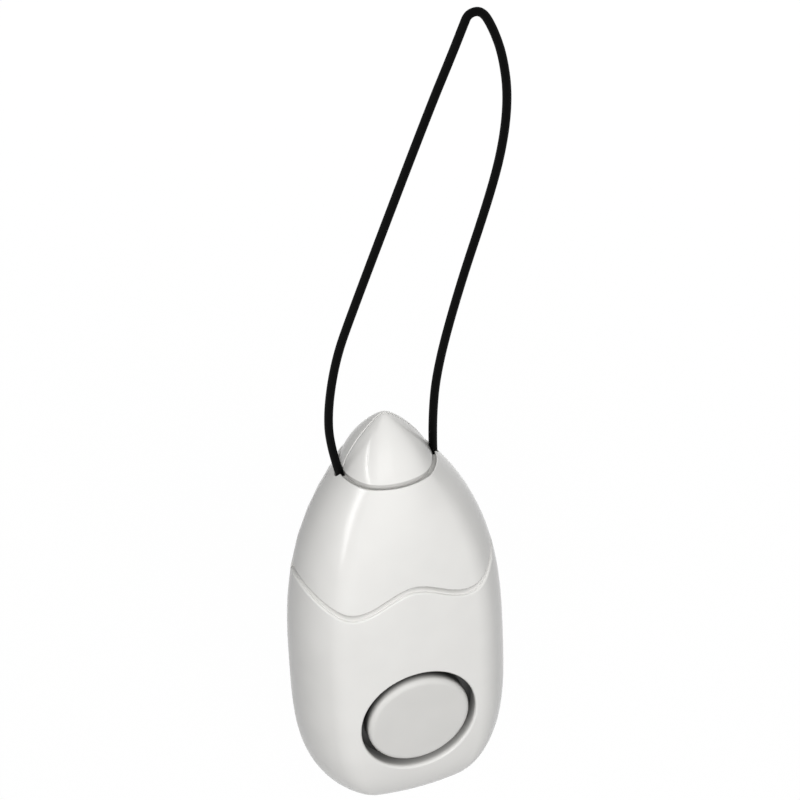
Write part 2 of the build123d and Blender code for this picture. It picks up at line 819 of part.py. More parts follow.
with BuildPart() as control_chip:
    with BuildSketch(upright(board_front_y - chip_leg[2])):
        with Locations(chip_place):
            Rectangle(chip_size[1], chip_size[0])
    extrude(amount=chip_size[2])
    with BuildSketch(upright(board_front_y)):
        with Locations(chip_place):
            with GridLocations(chip_size[1] + chip_leg[0], chip_leg_pitch, 2, chip_leg_count):
                Rectangle(chip_leg[0], chip_leg[1])
    extrude(amount=chip_size[2] / 2)
control_chip.part.label = "control_chip"

with BuildPart() as transistor:
    with BuildSketch(upright(board_front_y)):
        with Locations(transistor_place):
            Circle(transistor_radius)
            with Locations((0, -transistor_flat)):
                Rectangle(
                    2 * transistor_radius, transistor_radius, align=(Align.CENTER, Align.MAX),
                    mode=Mode.SUBTRACT,
                )
    extrude(amount=transistor_height)
transistor.part.label = "transistor"

# Siren: a brass disc with its ceramic on the ring behind the sound slots, under a cap
with BuildPart() as piezo_disc:
    with BuildSketch(upright(siren_ring_y)):
        with Locations((0, siren_height)):
            Circle(piezo_radius)
    extrude(amount=piezo_thickness)
piezo_disc.part.label = "piezo_disc"

with BuildPart() as piezo_ceramic:
    with BuildSketch(upright(siren_ring_y - piezo_thickness)):
        with Locations((0, siren_height)):
            Circle(ceramic_radius)
    extrude(amount=piezo_thickness)
piezo_ceramic.part.label = "piezo_ceramic"

with BuildPart() as siren_cap:
    with BuildSketch(upright(siren_ring_y - piezo_thickness)):
        with Locations((0, siren_height)):
            Circle(siren_ring_radius)
    extrude(amount=siren_cap_depth)
    with BuildSketch(upright(siren_ring_y - piezo_thickness)):
        with Locations((0, siren_height)):
            Circle(siren_ring_radius - siren_cap_wall)
    extrude(amount=siren_cap_depth - siren_cap_wall, mode=Mode.SUBTRACT)
siren_cap.part.label = "siren_cap"


# Batteries, one up and one down, with a sprung leaf at each flat end and a dimple at each nub
def cell(x, bottom, nub_up):
    body = cell_length - cell_nub
    nub_base = bottom + body if nub_up else bottom
    with BuildPart() as battery:
        with BuildSketch(bay_level(x, bottom if nub_up else bottom + cell_nub)):
            Circle(cell_radius)
        extrude(amount=body)
        with BuildSketch(bay_level(x, nub_base)):
            Circle(cell_nub_radius)
        extrude(amount=cell_nub)
    return battery.part


def bay_level(x, height):
    return Plane(origin=(case_x + x, cell_axis_y, foot_z + height))


battery_cell_left = cell(-cell_x, left_cell_bottom, True)
battery_cell_right = cell(cell_x, right_cell_bottom, False)

with BuildPart() as contact_plates:
    with BuildSketch(bay_level(0, bay_bottom)):
        Rectangle(2 * cell_x + contact_width, contact_width)
    extrude(amount=contact_thickness)
    with BuildSketch(bay_level(cell_x, bay_bottom + contact_thickness)):
        Circle(dimple_radius)
    extrude(amount=dimple_height)
    with BuildSketch(bay_level(0, bay_top)):
        with Locations((-cell_x, 0), (cell_x, 0)):
            Rectangle(contact_width, contact_width)
    extrude(amount=-contact_thickness)
    with BuildSketch(bay_level(-cell_x, bay_top - contact_thickness)):
        Circle(dimple_radius)
    extrude(amount=-dimple_height)
contact_plates.part.label = "contact_plates"


def leaf_contact(x, base, tip):
    """A bowed strip from a contact plate to the flat end of a battery."""
    up = 1 if tip > base else -1
    rise = abs(tip - base) - 2 * screw_play
    slope = atan2(rise, leaf_reach - leaf_crown)
    inner_reach = leaf_reach - leaf_thickness / sin(slope)
    inner_rise = rise - leaf_thickness
    inner_crown = inner_reach - inner_rise / tan(slope)
    profile = [
        (leaf_reach, 0), (inner_reach, 0), (inner_crown, inner_rise), (-inner_crown, inner_rise),
        (-inner_reach, 0), (-leaf_reach, 0), (-leaf_crown, rise), (leaf_crown, rise),
    ]
    with BuildPart() as strip:
        with BuildSketch(upright(cell_axis_y + leaf_width / 2)):
            with BuildLine():
                Polyline(
                    *[(x + off, base + up * (screw_play + height)) for off, height in profile], close=True
                )
            make_face()
        extrude(amount=leaf_width)
    return strip.part


contact_springs = [
    leaf_contact(-cell_x, bay_bottom + contact_thickness, left_cell_bottom),
    leaf_contact(cell_x, bay_top - contact_thickness, right_cell_top),
]

# Case screws: round heads with a cross slot, in from the back
with BuildPart() as case_screws:
    with BuildSketch(upright(screw_seat_depth)):
        with Locations(*screw_places):
            Circle(screw_radius)
    extrude(amount=screw_length)
    with BuildSketch(upright(screw_seat_depth)):
        with Locations(*screw_places):
            Circle(screw_head_radius)
    extrude(amount=-screw_head_height)
    with BuildSketch(upright(screw_seat_depth + screw_head_height)):
        with Locations(*screw_places):
            Rectangle(screw_slot_length, screw_slot)
            Rectangle(screw_slot, screw_slot_length)
    extrude(amount=screw_slot_depth, mode=Mode.SUBTRACT)
case_screws.part.label = "case_screws"


def group(pieces, label):
    """Like pieces that share one node."""
    return Compound(label=label, children=[solid for piece in pieces for solid in piece.solids()])


coil_core.label = "coil_core"
coil_winding.label = "coil_winding"
capacitor.label = "capacitor"
battery_cell_left.label = "battery_cell_left"
battery_cell_right.label = "battery_cell_right"
finished = [
    front_upper_cover.part, front_lower_cover.part, rear_cover.part, battery_door.part, nose_front.part,
    nose_rear.part, button.part, hanging_cord.part, group(cord_ends, "cord_ends"),
    group(cord_crimps, "cord_crimps"), case_screws.part, board_screws.part, circuit_board.part,
    switch_body.part, switch_plunger.part, sensor_can.part, sensor_pin.part, sensor_spring.part,
    coil_core, coil_winding, capacitor, control_chip.part, transistor.part, piezo_disc.part,
    piezo_ceramic.part, siren_cap.part, battery_cell_left, battery_cell_right, contact_plates.part,
    group(contact_springs, "contact_springs"),
]
os.makedirs("parts", exist_ok=True)
for piece in finished:
    export_step(piece, f"parts/{piece.label}.step")
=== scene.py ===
from math import cos, pi, radians, sin, sqrt

import bmesh
import bpy
import numpy as np
from mathutils import Matrix, Quaternion, Vector


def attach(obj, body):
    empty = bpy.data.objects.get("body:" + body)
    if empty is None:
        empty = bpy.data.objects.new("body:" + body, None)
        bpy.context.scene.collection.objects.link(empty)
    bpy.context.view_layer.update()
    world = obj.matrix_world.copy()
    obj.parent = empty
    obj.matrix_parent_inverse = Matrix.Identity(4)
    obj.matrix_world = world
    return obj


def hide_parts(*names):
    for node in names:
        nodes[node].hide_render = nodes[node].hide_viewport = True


bl_info = {
    "name": "Vibration door alarm",
    "version": (1, 0, 0),
    "blender": (4, 5, 0),
    "location": "3D View > Sidebar > Alarm",
    "description": "Dresses the packed door alarm: its moulded covers, nose, button, cord and insides",
    "category": "Add Mesh",
}

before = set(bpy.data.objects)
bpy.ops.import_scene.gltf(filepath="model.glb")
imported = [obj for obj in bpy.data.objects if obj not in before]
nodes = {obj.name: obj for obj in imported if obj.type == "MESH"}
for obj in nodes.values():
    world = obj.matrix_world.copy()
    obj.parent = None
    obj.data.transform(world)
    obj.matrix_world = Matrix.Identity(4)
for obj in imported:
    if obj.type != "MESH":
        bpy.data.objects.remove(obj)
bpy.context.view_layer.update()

MM = 0.001

# The cord's route from part.py: offset from the case's axis, height above the foot, in millimetres
CORD_ROUTE = [
    (-12.0, 97.0), (-13.8, 105.2), (-13.6, 115.4), (-11.1, 128.2), (-7.0, 139.1), (13.8, 188.7),
    (20.3, 203.0), (23.1, 209.5), (24.4, 212.4), (27.7, 212.4), (30.2, 207.1), (32.3, 199.7),
    (33.3, 189.1), (31.8, 176.7), (28.1, 163.4), (19.8, 140.1), (13.7, 119.2), (12.0, 105.4),
    (11.9, 97.0),
]

# The wavy seam's points: offset, height above the foot
SEAM_POINTS = [
    (-30.0, 75.8), (-24.4, 70.3), (-14.0, 64.6), (0.0, 69.4), (14.0, 64.6), (24.4, 70.3), (30.0, 75.8),
]

# Where the screws stand: offset from the case's axis, height above the foot
CASE_SCREWS = [(-20.0, 26.0), (20.0, 26.0), (-14.9, 82.0), (14.9, 82.0)]
BOARD_SCREWS = [(-10.2, 18.0), (10.2, 18.0), (0.0, 56.4)]

# The screws' sizes, and the rise of their threads per turn, in millimetres
CASE_SCREW_SIZES = {
    "Head radius": 2.4, "Head height": 1.7, "Shank radius": 1.25, "Length": 9.5, "Slot width": 0.7,
    "Slot depth": 0.9,
}
BOARD_SCREW_SIZES = {
    "Head radius": 1.8, "Head height": 1.2, "Shank radius": 0.9, "Length": 4.0, "Slot width": 0.5,
    "Slot depth": 0.6,
}
SCREW_PITCH = 0.8

# The feet of the coil's winding and of the sensor's spring, in metres from the case's axis and foot
COIL_FOOT = (8.6 * MM, -5.15 * MM, 62.0 * MM)
SPRING_FOOT = (-11.0 * MM, -6.7 * MM, 51.4 * MM)

# The attribute that holds how much painted shade darkens a point, from 0 to 1
PAINTED_SHADE_MARK = "dust"

# How much painted shade darkens points by their depth in millimetres: on the wall of the button's slot
# by the depth below the case, and on the button by the depth along its axis
SLOT_PAINTED_SHADE = ((0.8, 1.5, 2.6, 4.7), (0.0, 0.55, 0.92, 1.0))
BUTTON_PAINTED_SHADE = ((1.1, 1.9, 2.5, 3.0), (0.0, 0.35, 0.80, 1.0))

# How much painted shade darkens the groove round the nose, the nose's foot, the seam's step and the
# seam's foot
GROOVE_PAINTED_SHADE, NECK_PAINTED_SHADE, STEP_PAINTED_SHADE, SEAM_PAINTED_SHADE = 0.2, 0.38, 0.10, 0.70

# Picks of the braid along the loop, 245 mm at about 1.2 mm each, and round it
BRAID_PICKS = (204.0, 8.0)

# The sockets of a Mix node between colours: share, first and second colour in, mixed colour out
SHARE, FIRST, SECOND, MIXED = 0, 6, 7, 2


def length_property(name, description, default):
    return bpy.props.FloatProperty(
        name=name, description=description, default=default * MM, unit="LENGTH", min=0.0, precision=5
    )


def place_property(name, description, default):
    return bpy.props.FloatProperty(
        name=name, description=description, default=default * MM, unit="LENGTH", precision=5
    )


def power_property(name, description, default):
    return bpy.props.FloatProperty(name=name, description=description, default=default, min=0.0)


def colour_property(name, description, default):
    return bpy.props.StringProperty(name=name, description=description, default=default, maxlen=7)


class CaseSizes(bpy.types.PropertyGroup):
    """The moulded case's driving sizes."""

    axis_x: place_property("Axis", "The case's upright axis, left of the loop's top", -26.05)
    foot_z: place_property("Foot", "The case's lowest point, below the loop's top", -211.35)
    width: length_property("Width", "Across the widest part of the case", 54.0)
    front_depth: length_property("Front depth", "From the axis to the front panel", 17.0)
    rear_depth: length_property("Rear depth", "From the axis to the uncut rear", 14.6)
    back_depth: length_property("Back depth", "From the axis to the flat back", 12.6)
    widest_height: length_property("Widest height", "Height of the widest part", 39.8)
    collar_height: length_property("Collar height", "Height of the round collar", 96.5)
    collar_width: length_property("Collar width", "Across the collar", 24.6)
    collar_depth: length_property("Collar depth", "Half the collar's depth", 12.2)
    front_radius: length_property("Panel radius", "Crown of the front panel", 150.0)
    collar_radius: length_property("Collar panel radius", "Crown of the front at the collar", 15.0)
    parting: length_property("Parting", "Depth at which front and rear covers meet", 4.0)
    gap: length_property("Gap", "Gap between the covers", 0.25)
    wall: length_property("Wall", "Thickness of the moulding", 1.8)
    step_width: length_property("Step width", "Width of the step below the wavy seam", 1.2)
    step_depth: length_property("Step depth", "Depth of the step below the wavy seam", 0.6)
    shade_width: length_property("Shade width", "Width of the slope under the upper cover's edge", 0.8)
    shade_depth: length_property("Shade depth", "How much deeper than the step that slope goes", 0.8)
    edge: length_property("Edge radius", "Rounding of the mouldings' edges", 0.3)
    seam_edge: length_property("Seam rounding", "Rounding of the upper cover along the wavy seam", 0.9)
    lip: length_property("Seam lip", "Rounding of the lower cover down to its step", 0.8)
    deck: length_property("Deck", "Thickness of the collar round the nose", 2.5)


class NoseSizes(bpy.types.PropertyGroup):
    """The pointed nose and the groove round its foot."""

    top: length_property("Top", "Height of the tip above the case's foot", 110.4)
    inset: length_property("Inset", "From the collar's outline in to the nose", 1.2)
    groove: length_property("Groove", "Width of the groove round the nose", 0.8)
    neck: length_property("Neck", "Height of the nose's cut-back foot above the collar", 0.6)
    neck_inset: length_property("Neck inset", "How far the nose's foot is cut back", 0.5)
    softness: length_property("Softness", "How widely the nose's changes of curvature are eased", 1.6)
    ledge: length_property("Ledge", "Depth of the groove round the nose", 0.9)
    halves_gap: length_property("Parting gap", "Gap between the nose's halves", 0.15)
    opening: length_property("Opening", "Radius of the opening below the nose", 9.6)


class ButtonSizes(bpy.types.PropertyGroup):
    """The push button and the hole that it works in."""

    height: length_property("Height", "Height of the button's centre", 28.2)
    tilt: bpy.props.FloatProperty(
        name="Tilt", description="How far the button's axis leans", default=radians(4.5),
        subtype="ANGLE",
    )
    hole: length_property("Hole radius", "Radius of the hole", 14.8)
    lip: length_property("Lip radius", "Rounding of the hole's rim", 0.9)
    gap: length_property("Gap", "Gap round the button", 1.7)
    recess: length_property("Recess", "How far the face lies below the case", 0.35)
    edge: length_property("Edge radius", "Rounding of the button's edge", 1.5)
    depth: length_property("Sleeve depth", "Depth of the sleeve round the button", 4.7)
    sleeve: length_property("Sleeve wall", "Thickness of the sleeve", 1.2)


class CordSizes(bpy.types.PropertyGroup):
    """The cord loop."""

    diameter: length_property("Diameter", "Thickness of the cord", 2.1)
    hole: length_property("Hole radius", "Radius of the holes in the collar", 1.3)
    hole_depth: length_property("Hole depth", "Depth of the holes in the collar", 8.0)
    length: length_property("Length", "Length of the loop from end to end", 244.8)


class InsideSizes(bpy.types.PropertyGroup):
    """Sizes of the screws' seats and of what is wound from wire."""

    case_screw_seat: length_property("Case screw seat", "Depth at which the case screws' heads sit", 6.4)
    board_front: place_property("Board front", "Depth of the circuit board's front face", -4.1)
    winding_radius: length_property("Winding radius", "Outside of the coil's winding", 3.8)
    winding_wire: length_property("Winding wire", "Thickness of the coil's wire", 0.28)
    winding_height: length_property("Winding height", "Height of the coil's winding", 4.9)
    spring_radius: length_property("Spring radius", "Outside of the sensor's spring", 1.15)
    spring_wire: length_property("Spring wire", "Thickness of the spring's wire", 0.22)
    spring_height: length_property("Spring height", "Height of the sensor's spring", 8.1)
    spring_pitch: length_property("Spring pitch", "Rise of the spring per turn", 0.45)


class PlasticColours(bpy.types.PropertyGroup):
    """Colours of what shows, as sRGB hex."""

    case: colour_property("Case", "Warm white moulding", "#EFEEEB")
    button: colour_property("Button", "Light grey moulding", "#E2E1DE")
    # Painted shade: the darker colours that the slot's wall and the button take down in the slot, where
    # it lies in shadow
    dust: colour_property("Painted shade", "Dust on the wall of the slot round the button", "#807F7D")
    deep_painted_shade: colour_property("Deep painted shade", "Dust on the button, down in the slot", "#2C2C2B")
    cord: colour_property("Cord", "Black braid", "#040404")
    backdrop: colour_property("Backdrop", "What the camera sees round the alarm", "#FFFFFF")
    floor: colour_property("Floor", "The floor as it lights the alarm", "#5E5E5E")


class StageSettings(bpy.types.PropertyGroup):
    """Floor, lamps and camera."""

    floor_drop: length_property("Floor drop", "How far the floor lies below the case", 42.0)
    key_power: power_property("Key power", "Soft box beside the camera, in watts", 12.2)
    fill_power: power_property("Fill power", "Narrow box at the left, in watts", 2.8)
    back_power: power_property("Back power", "Soft box behind the alarm, in watts", 10.0)
    world_strength: power_property("Surroundings", "Strength of the white surroundings", 0.09)
    lens: bpy.props.FloatProperty(
        name="Lens", description="Focal length in millimetres", default=166.2, min=10.0
    )


def settings():
    return bpy.context.scene.door_alarm


class AlarmSettings(bpy.types.PropertyGroup):
    """Everything that a user would change."""

    case: bpy.props.PointerProperty(type=CaseSizes)
    nose: bpy.props.PointerProperty(type=NoseSizes)
    button: bpy.props.PointerProperty(type=ButtonSizes)
    cord: bpy.props.PointerProperty(type=CordSizes)
    inside: bpy.props.PointerProperty(type=InsideSizes)
    colours: bpy.props.PointerProperty(type=PlasticColours)
    stage: bpy.props.PointerProperty(type=StageSettings)


def linear(colour):
    """An sRGB hex colour as linear red, green, blue and an alpha of 1."""
    parts = [int(colour[k : k + 2], 16) / 255 for k in (1, 3, 5)]
    return [c / 12.92 if c <= 0.04045 else ((c + 0.055) / 1.055) ** 2.4 for c in parts] + [1.0]


def add_node(tree, kind, inputs=None, **values):
    """Adds a node, sets its values, and sets or links its inputs."""
    made = tree.nodes.new(kind)
    for key, value in values.items():
        setattr(made, key, value)
    for key, source in (inputs or {}).items():
        if isinstance(source, bpy.types.NodeSocket):
            tree.links.new(source, made.inputs[key])
        else:
            made.inputs[key].default_value = source
    return made


def start_material(name, colour, roughness, metallic=0.0, ior=1.5):
    """A new material and its shader, with the same colour all over."""
    material = bpy.data.materials.new(name)
    material.use_nodes = True
    tree = material.node_tree
    tree.nodes.clear()
    shader = add_node(tree, "ShaderNodeBsdfPrincipled", {
        "Base Color": linear(colour), "Roughness": roughness, "Metallic": metallic, "IOR": ior,
    })
    add_node(tree, "ShaderNodeOutputMaterial", {"Surface": shader.outputs["BSDF"]})
    return material, tree, shader


def seen_directly(tree):
    """1 for what the camera sees, straight or by reflection or through something clear, else 0."""
    rays = add_node(tree, "ShaderNodeLightPath")
    seen = rays.outputs["Is Camera Ray"]
    for other in ("Is Glossy Ray", "Is Transmission Ray"):
        either = add_node(tree, "ShaderNodeMath", {0: seen, 1: rays.outputs[other]}, operation="MAXIMUM")
        seen = either.outputs["Value"]
    return seen


def clouds(tree, size_mm, detail):
    """A soft noise of a real size in millimetres on Object coordinates."""
    place = add_node(tree, "ShaderNodeTexCoord")
    return add_node(tree, "ShaderNodeTexNoise", {
        "Vector": place.outputs["Object"], "Scale": 1 / (size_mm * MM), "Detail": detail,
    }).outputs["Fac"]


def spots(tree, size_mm, detail, low, high):
    """Soft clouds between two values."""
    return add_node(tree, "ShaderNodeMapRange", {
        "Value": clouds(tree, size_mm, detail), "From Min": 0.3, "From Max": 0.7, "To Min": low,
        "To Max": high,
    }).outputs["Result"]


def grain(tree, shader, size_mm, height_mm, strength):
    """A fine surface relief of a real grain size and height."""
    bump = add_node(tree, "ShaderNodeBump", {
        "Height": clouds(tree, size_mm, detail=2.0), "Strength": strength, "Distance": height_mm * MM,
    })
    tree.links.new(bump.outputs["Normal"], shader.inputs["Normal"])


def tinted(tree, shader, colour, other, size_mm, detail=3.0):
    """Varies the base colour softly between two colours."""
    mixed = add_node(tree, "ShaderNodeMix", {
        SHARE: spots(tree, size_mm, detail, 0.0, 1.0), FIRST: linear(colour), SECOND: linear(other),
    }, data_type="RGBA", clamp_factor=True)
    tree.links.new(mixed.outputs[MIXED], shader.inputs["Base Color"])


def moulded_plastic(name, colour, shade, roughness, dust):
    """Glossy injection-moulded ABS: a broad soft highlight, a faint orange peel and a few dull rubs, with
    painted shade: a darker colour mixed in down its slots and grooves, where they lie in shadow."""
    material, tree, shader = start_material(name, colour, roughness, ior=1.53)
    tinted(tree, shader, colour, shade, size_mm=9.0, detail=1.0)
    # Painted shade: the mark mixes the colour towards a darker one where the slots and grooves lie in
    # shadow
    mark = add_node(tree, "ShaderNodeAttribute", attribute_name=PAINTED_SHADE_MARK)
    unshaded_colour = shader.inputs["Base Color"].links[0].from_socket
    painted_shade_colour = add_node(tree, "ShaderNodeMix", {
        SHARE: mark.outputs["Fac"], FIRST: unshaded_colour, SECOND: linear(dust),
    }, data_type="RGBA", clamp_factor=True)
    tree.links.new(painted_shade_colour.outputs[MIXED], shader.inputs["Base Color"])
    dulled = spots(tree, size_mm=5.0, detail=2.0, low=roughness - 0.02, high=roughness + 0.03)
    tree.links.new(dulled, shader.inputs["Roughness"])
    grain(tree, shader, size_mm=1.2, height_mm=0.01, strength=0.05)
    return material


def braided_nylon(name, colour):
    """Tight black nylon braid: matt, with the lit crowns of its strands along and across the cord."""
    material, tree, shader = start_material(name, colour, roughness=0.62, ior=1.53)
    place = add_node(tree, "ShaderNodeUVMap")
    across = add_node(tree, "ShaderNodeMapping", {
        "Vector": place.outputs["UV"], "Scale": (*BRAID_PICKS, 1.0),
    })
    strands = add_node(tree, "ShaderNodeTexVoronoi", {"Vector": across.outputs["Vector"], "Scale": 1.0})
    bump = add_node(tree, "ShaderNodeBump", {
        "Height": strands.outputs["Distance"], "Strength": 0.5, "Distance": 0.15 * MM,
    }, invert=True)
    tree.links.new(bump.outputs["Normal"], shader.inputs["Normal"])
    # The loose fibres swallow most of what a smooth face of nylon would reflect
    shader.inputs["Specular IOR Level"].default_value = 0.06
    return material


# What the carried-over pieces are made of: colour, second colour, roughness, metallic, IOR, grain in mm
CARRIED_FINISHES = {
    # Zinc-plated steel screws: a cool, slightly cloudy metal
    "zinc_plated_steel": ("#B9BCC0", "#A3A7AC", 0.34, 1.0, 1.5, 1.5),
    # Glass-fibre laminate under green solder mask: semi-gloss with a woven unevenness
    "solder_mask_green": ("#1E6B38", "#195C30", 0.38, 0.0, 1.5, 0.8),
    # Glass-filled nylon: matt and faintly speckled
    "black_filled_nylon": ("#1B1B1C", "#252526", 0.58, 0.0, 1.53, 0.4),
    # Acetal: off-white and waxy
    "white_acetal": ("#DEDCD3", "#D2D0C7", 0.42, 0.0, 1.48, 0.7),
    # Nickel plate on pressed sheet: warm grey and bright
    "nickel_plated_sheet": ("#C3BEB2", "#B1AB9E", 0.26, 1.0, 1.5, 2.0),
    # Drawn steel pin: bright with fine die lines
    "drawn_steel_pin": ("#AEB0B3", "#989A9D", 0.30, 1.0, 1.5, 0.5),
    # Sprung steel wire: a shade darker and bluer than the pin
    "sprung_steel_wire": ("#9EA2A8", "#8A8E95", 0.28, 1.0, 1.5, 0.4),
    # Enamelled copper wire: orange-brown under clear lacquer, so a tight highlight on every turn
    "enamelled_copper": ("#B9683C", "#A5572E", 0.24, 1.0, 1.5, 0.5),
    # Sintered ferrite: dark and dull
    "sintered_ferrite": ("#2C2B2D", "#39383A", 0.66, 0.0, 1.6, 0.3),
    # Shrunk vinyl sleeve: dark blue and glossy
    "shrunk_vinyl_sleeve": ("#1F2742", "#1A2138", 0.30, 0.0, 1.54, 1.0),
    # Rolled brass sheet: yellow with a light tarnish
    "rolled_brass": ("#C9A45C", "#B38C48", 0.32, 1.0, 1.5, 2.5),
    # Silvered ceramic: pale and chalky
    "silvered_ceramic": ("#D8D5CC", "#C9C6BE", 0.48, 0.0, 1.6, 0.6),
    # Printed film over a steel can: dark, even and semi-gloss
    "wrapped_cell_jacket": ("#33363B", "#2B2E33", 0.33, 0.0, 1.5, 3.0),
}


def carried_finish(name):
    """A carried-over piece's material: its colour clouded at the given grain, with a fine relief."""
    colour, other, roughness, metallic, ior, size_mm = CARRIED_FINISHES[name]
    material, tree, shader = start_material(name, colour, roughness, metallic, ior)
    tinted(tree, shader, colour, other, size_mm)
    cloud = spots(tree, 2 * size_mm, detail=2.0, low=roughness - 0.05, high=roughness + 0.08)
    tree.links.new(cloud, shader.inputs["Roughness"])
    grain(tree, shader, size_mm / 3, height_mm=0.02, strength=0.15)
    return material


def case_plastic():
    found = bpy.data.materials.get("glossy_abs_white")
    colours = settings().colours
    return found or moulded_plastic(
        "glossy_abs_white", colours.case, "#ECEBE8", roughness=0.20, dust=colours.dust
    )


def dress(node, material):
    """Gives a carried-over node one material all over."""
    mesh = nodes[node].data
    mesh.materials.clear()
    mesh.materials.append(material)
    mesh.polygons.foreach_set("material_index", [0] * len(mesh.polygons))


def new_piece(name, data):
    piece = bpy.data.objects.new(name, data)
    bpy.context.scene.collection.objects.link(piece)
    return piece


def add_piece(name, data, material, body, replaced):
    """Adds a dressed piece that rides on its body in place of the CAD node that it replaces."""
    data.materials.clear()
    data.materials.append(material)
    piece = new_piece(name, data)
    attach(piece, body)
    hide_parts(replaced)
    return piece


SPLINE_SAMPLES = 1500


def spline_heights(points, offsets):
    """A natural cubic spline through the points, by chord length, read as height over offset."""
    points = np.array(points)
    chords = np.hypot(*np.diff(points, axis=0).T)
    knots = np.concatenate([[0.0], np.cumsum(chords)])
    count = len(points)
    system = np.eye(count)
    pull = np.zeros((count, 2))
    for k in range(1, count - 1):
        system[k, k - 1 : k + 2] = chords[k - 1], 2 * (chords[k - 1] + chords[k]), chords[k]
        pull[k] = 6 * (
            (points[k + 1] - points[k]) / chords[k] - (points[k] - points[k - 1]) / chords[k - 1]
        )
    bends = np.linalg.solve(system, pull)
    fine = np.linspace(0, knots[-1], SPLINE_SAMPLES)
    span = np.clip(np.searchsorted(knots, fine, side="right") - 1, 0, count - 2)
    left, right, width = fine - knots[span], knots[span + 1] - fine, chords[span]
    curve = (
        bends[span] * (right**3 / (6 * width))[:, None]
        + bends[span + 1] * (left**3 / (6 * width))[:, None]
        + (points[span] / width[:, None] - bends[span] * (width / 6)[:, None]) * right[:, None]
        + (points[span + 1] / width[:, None] - bends[span + 1] * (width / 6)[:, None]) * left[:, None]
    )
    return np.interp(offsets, curve[:, 0], curve[:, 1])


# How full the case is below and above its widest part: powers of its width and of its depth
LOWER_WIDTH_POWER, UPPER_WIDTH_POWER = 3.17, 2.87
LOWER_DEPTH_POWER, UPPER_DEPTH_POWER = 3.9, 4.0

# A section's front panel as a share of its width, the facing where its creased corner ends, and the
# radius of its rear corner as a share of its rear depth
PANEL_SHARE = 0.6
CORNER = radians(45.0)
SIDE_SHARE = 0.88

# The panel's least radius, as a multiple of its half width
LEAST_CROWN = 1.5

# The front's half girth as a share of the case's width, for rows that keep off its edges
GIRTH_SHARE = 0.6

# The nose: powers of its profile, how much higher its unrounded tip is, and how blunt the tip is
NOSE_LOWER_POWER = 1.40
NOSE_UPPER_POWER = 1.225
NOSE_BLUNTING = 0.33 * MM
NOSE_BLUNT = 0.06

# The least size and height of a section, just above the point where the form closes
LEAST = 0.02 * MM

# How often a ray's hit on the form is halved in, and the seam's height is worked out anew
HALVINGS = 34
SEAM_STEPS = 14

# A first guess at the seam's height, as a share of the height of the case's widest part
SEAM_START = 1.7


def unit(vectors):
    return vectors / np.linalg.norm(vectors, axis=-1, keepdims=True)


def arc_section(width, front, rear, panel):
    """The radii and centres of a section's arcs: crowned panel, creased corners, sides and back."""
    turn = np.arcsin(PANEL_SHARE * width / panel)
    a, b = sin(CORNER) - np.sin(turn), 1 - sin(CORNER)
    c, d = np.cos(turn) - cos(CORNER), cos(CORNER)
    p, q = width - panel * np.sin(turn), front - panel * (1 - np.cos(turn))
    crease = (p * d - b * q) / (a * d - b * c)
    flank = SIDE_SHARE * rear
    back = (rear**2 - flank**2 + (width - flank) ** 2) / (2 * (rear - flank))
    return {
        "width": width, "front": front, "rear": rear, "panel": panel, "turn": turn, "crease": crease,
        "crease_x": (panel - crease) * np.sin(turn),
        "crease_y": panel - front - (panel - crease) * np.cos(turn),
        "side": (a * q - c * p) / (a * d - b * c), "flank": flank, "back": back,
        "join": np.arctan2(back - rear, width - flank),
    }


def at_facing(s, facing):
    """The point of a section's right half whose outward normal turns by facing from the front."""
    upto = [facing <= end for end in (s["turn"], CORNER, pi / 2, pi / 2 + s["join"])]
    zero = 0 * s["width"] + 0 * facing

    def pick(*values):
        values = [value + zero for value in values]
        return np.select(upto, values[:-1], values[-1])

    radius = pick(s["panel"], s["crease"], s["side"], s["flank"], s["back"])
    centre_x = pick(0, s["crease_x"], s["width"] - s["side"], s["width"] - s["flank"], 0)
    centre_y = pick(s["panel"] - s["front"], s["crease_y"], 0, 0, s["rear"] - s["back"])
    return centre_x + radius * np.sin(facing), centre_y - radius * np.cos(facing)


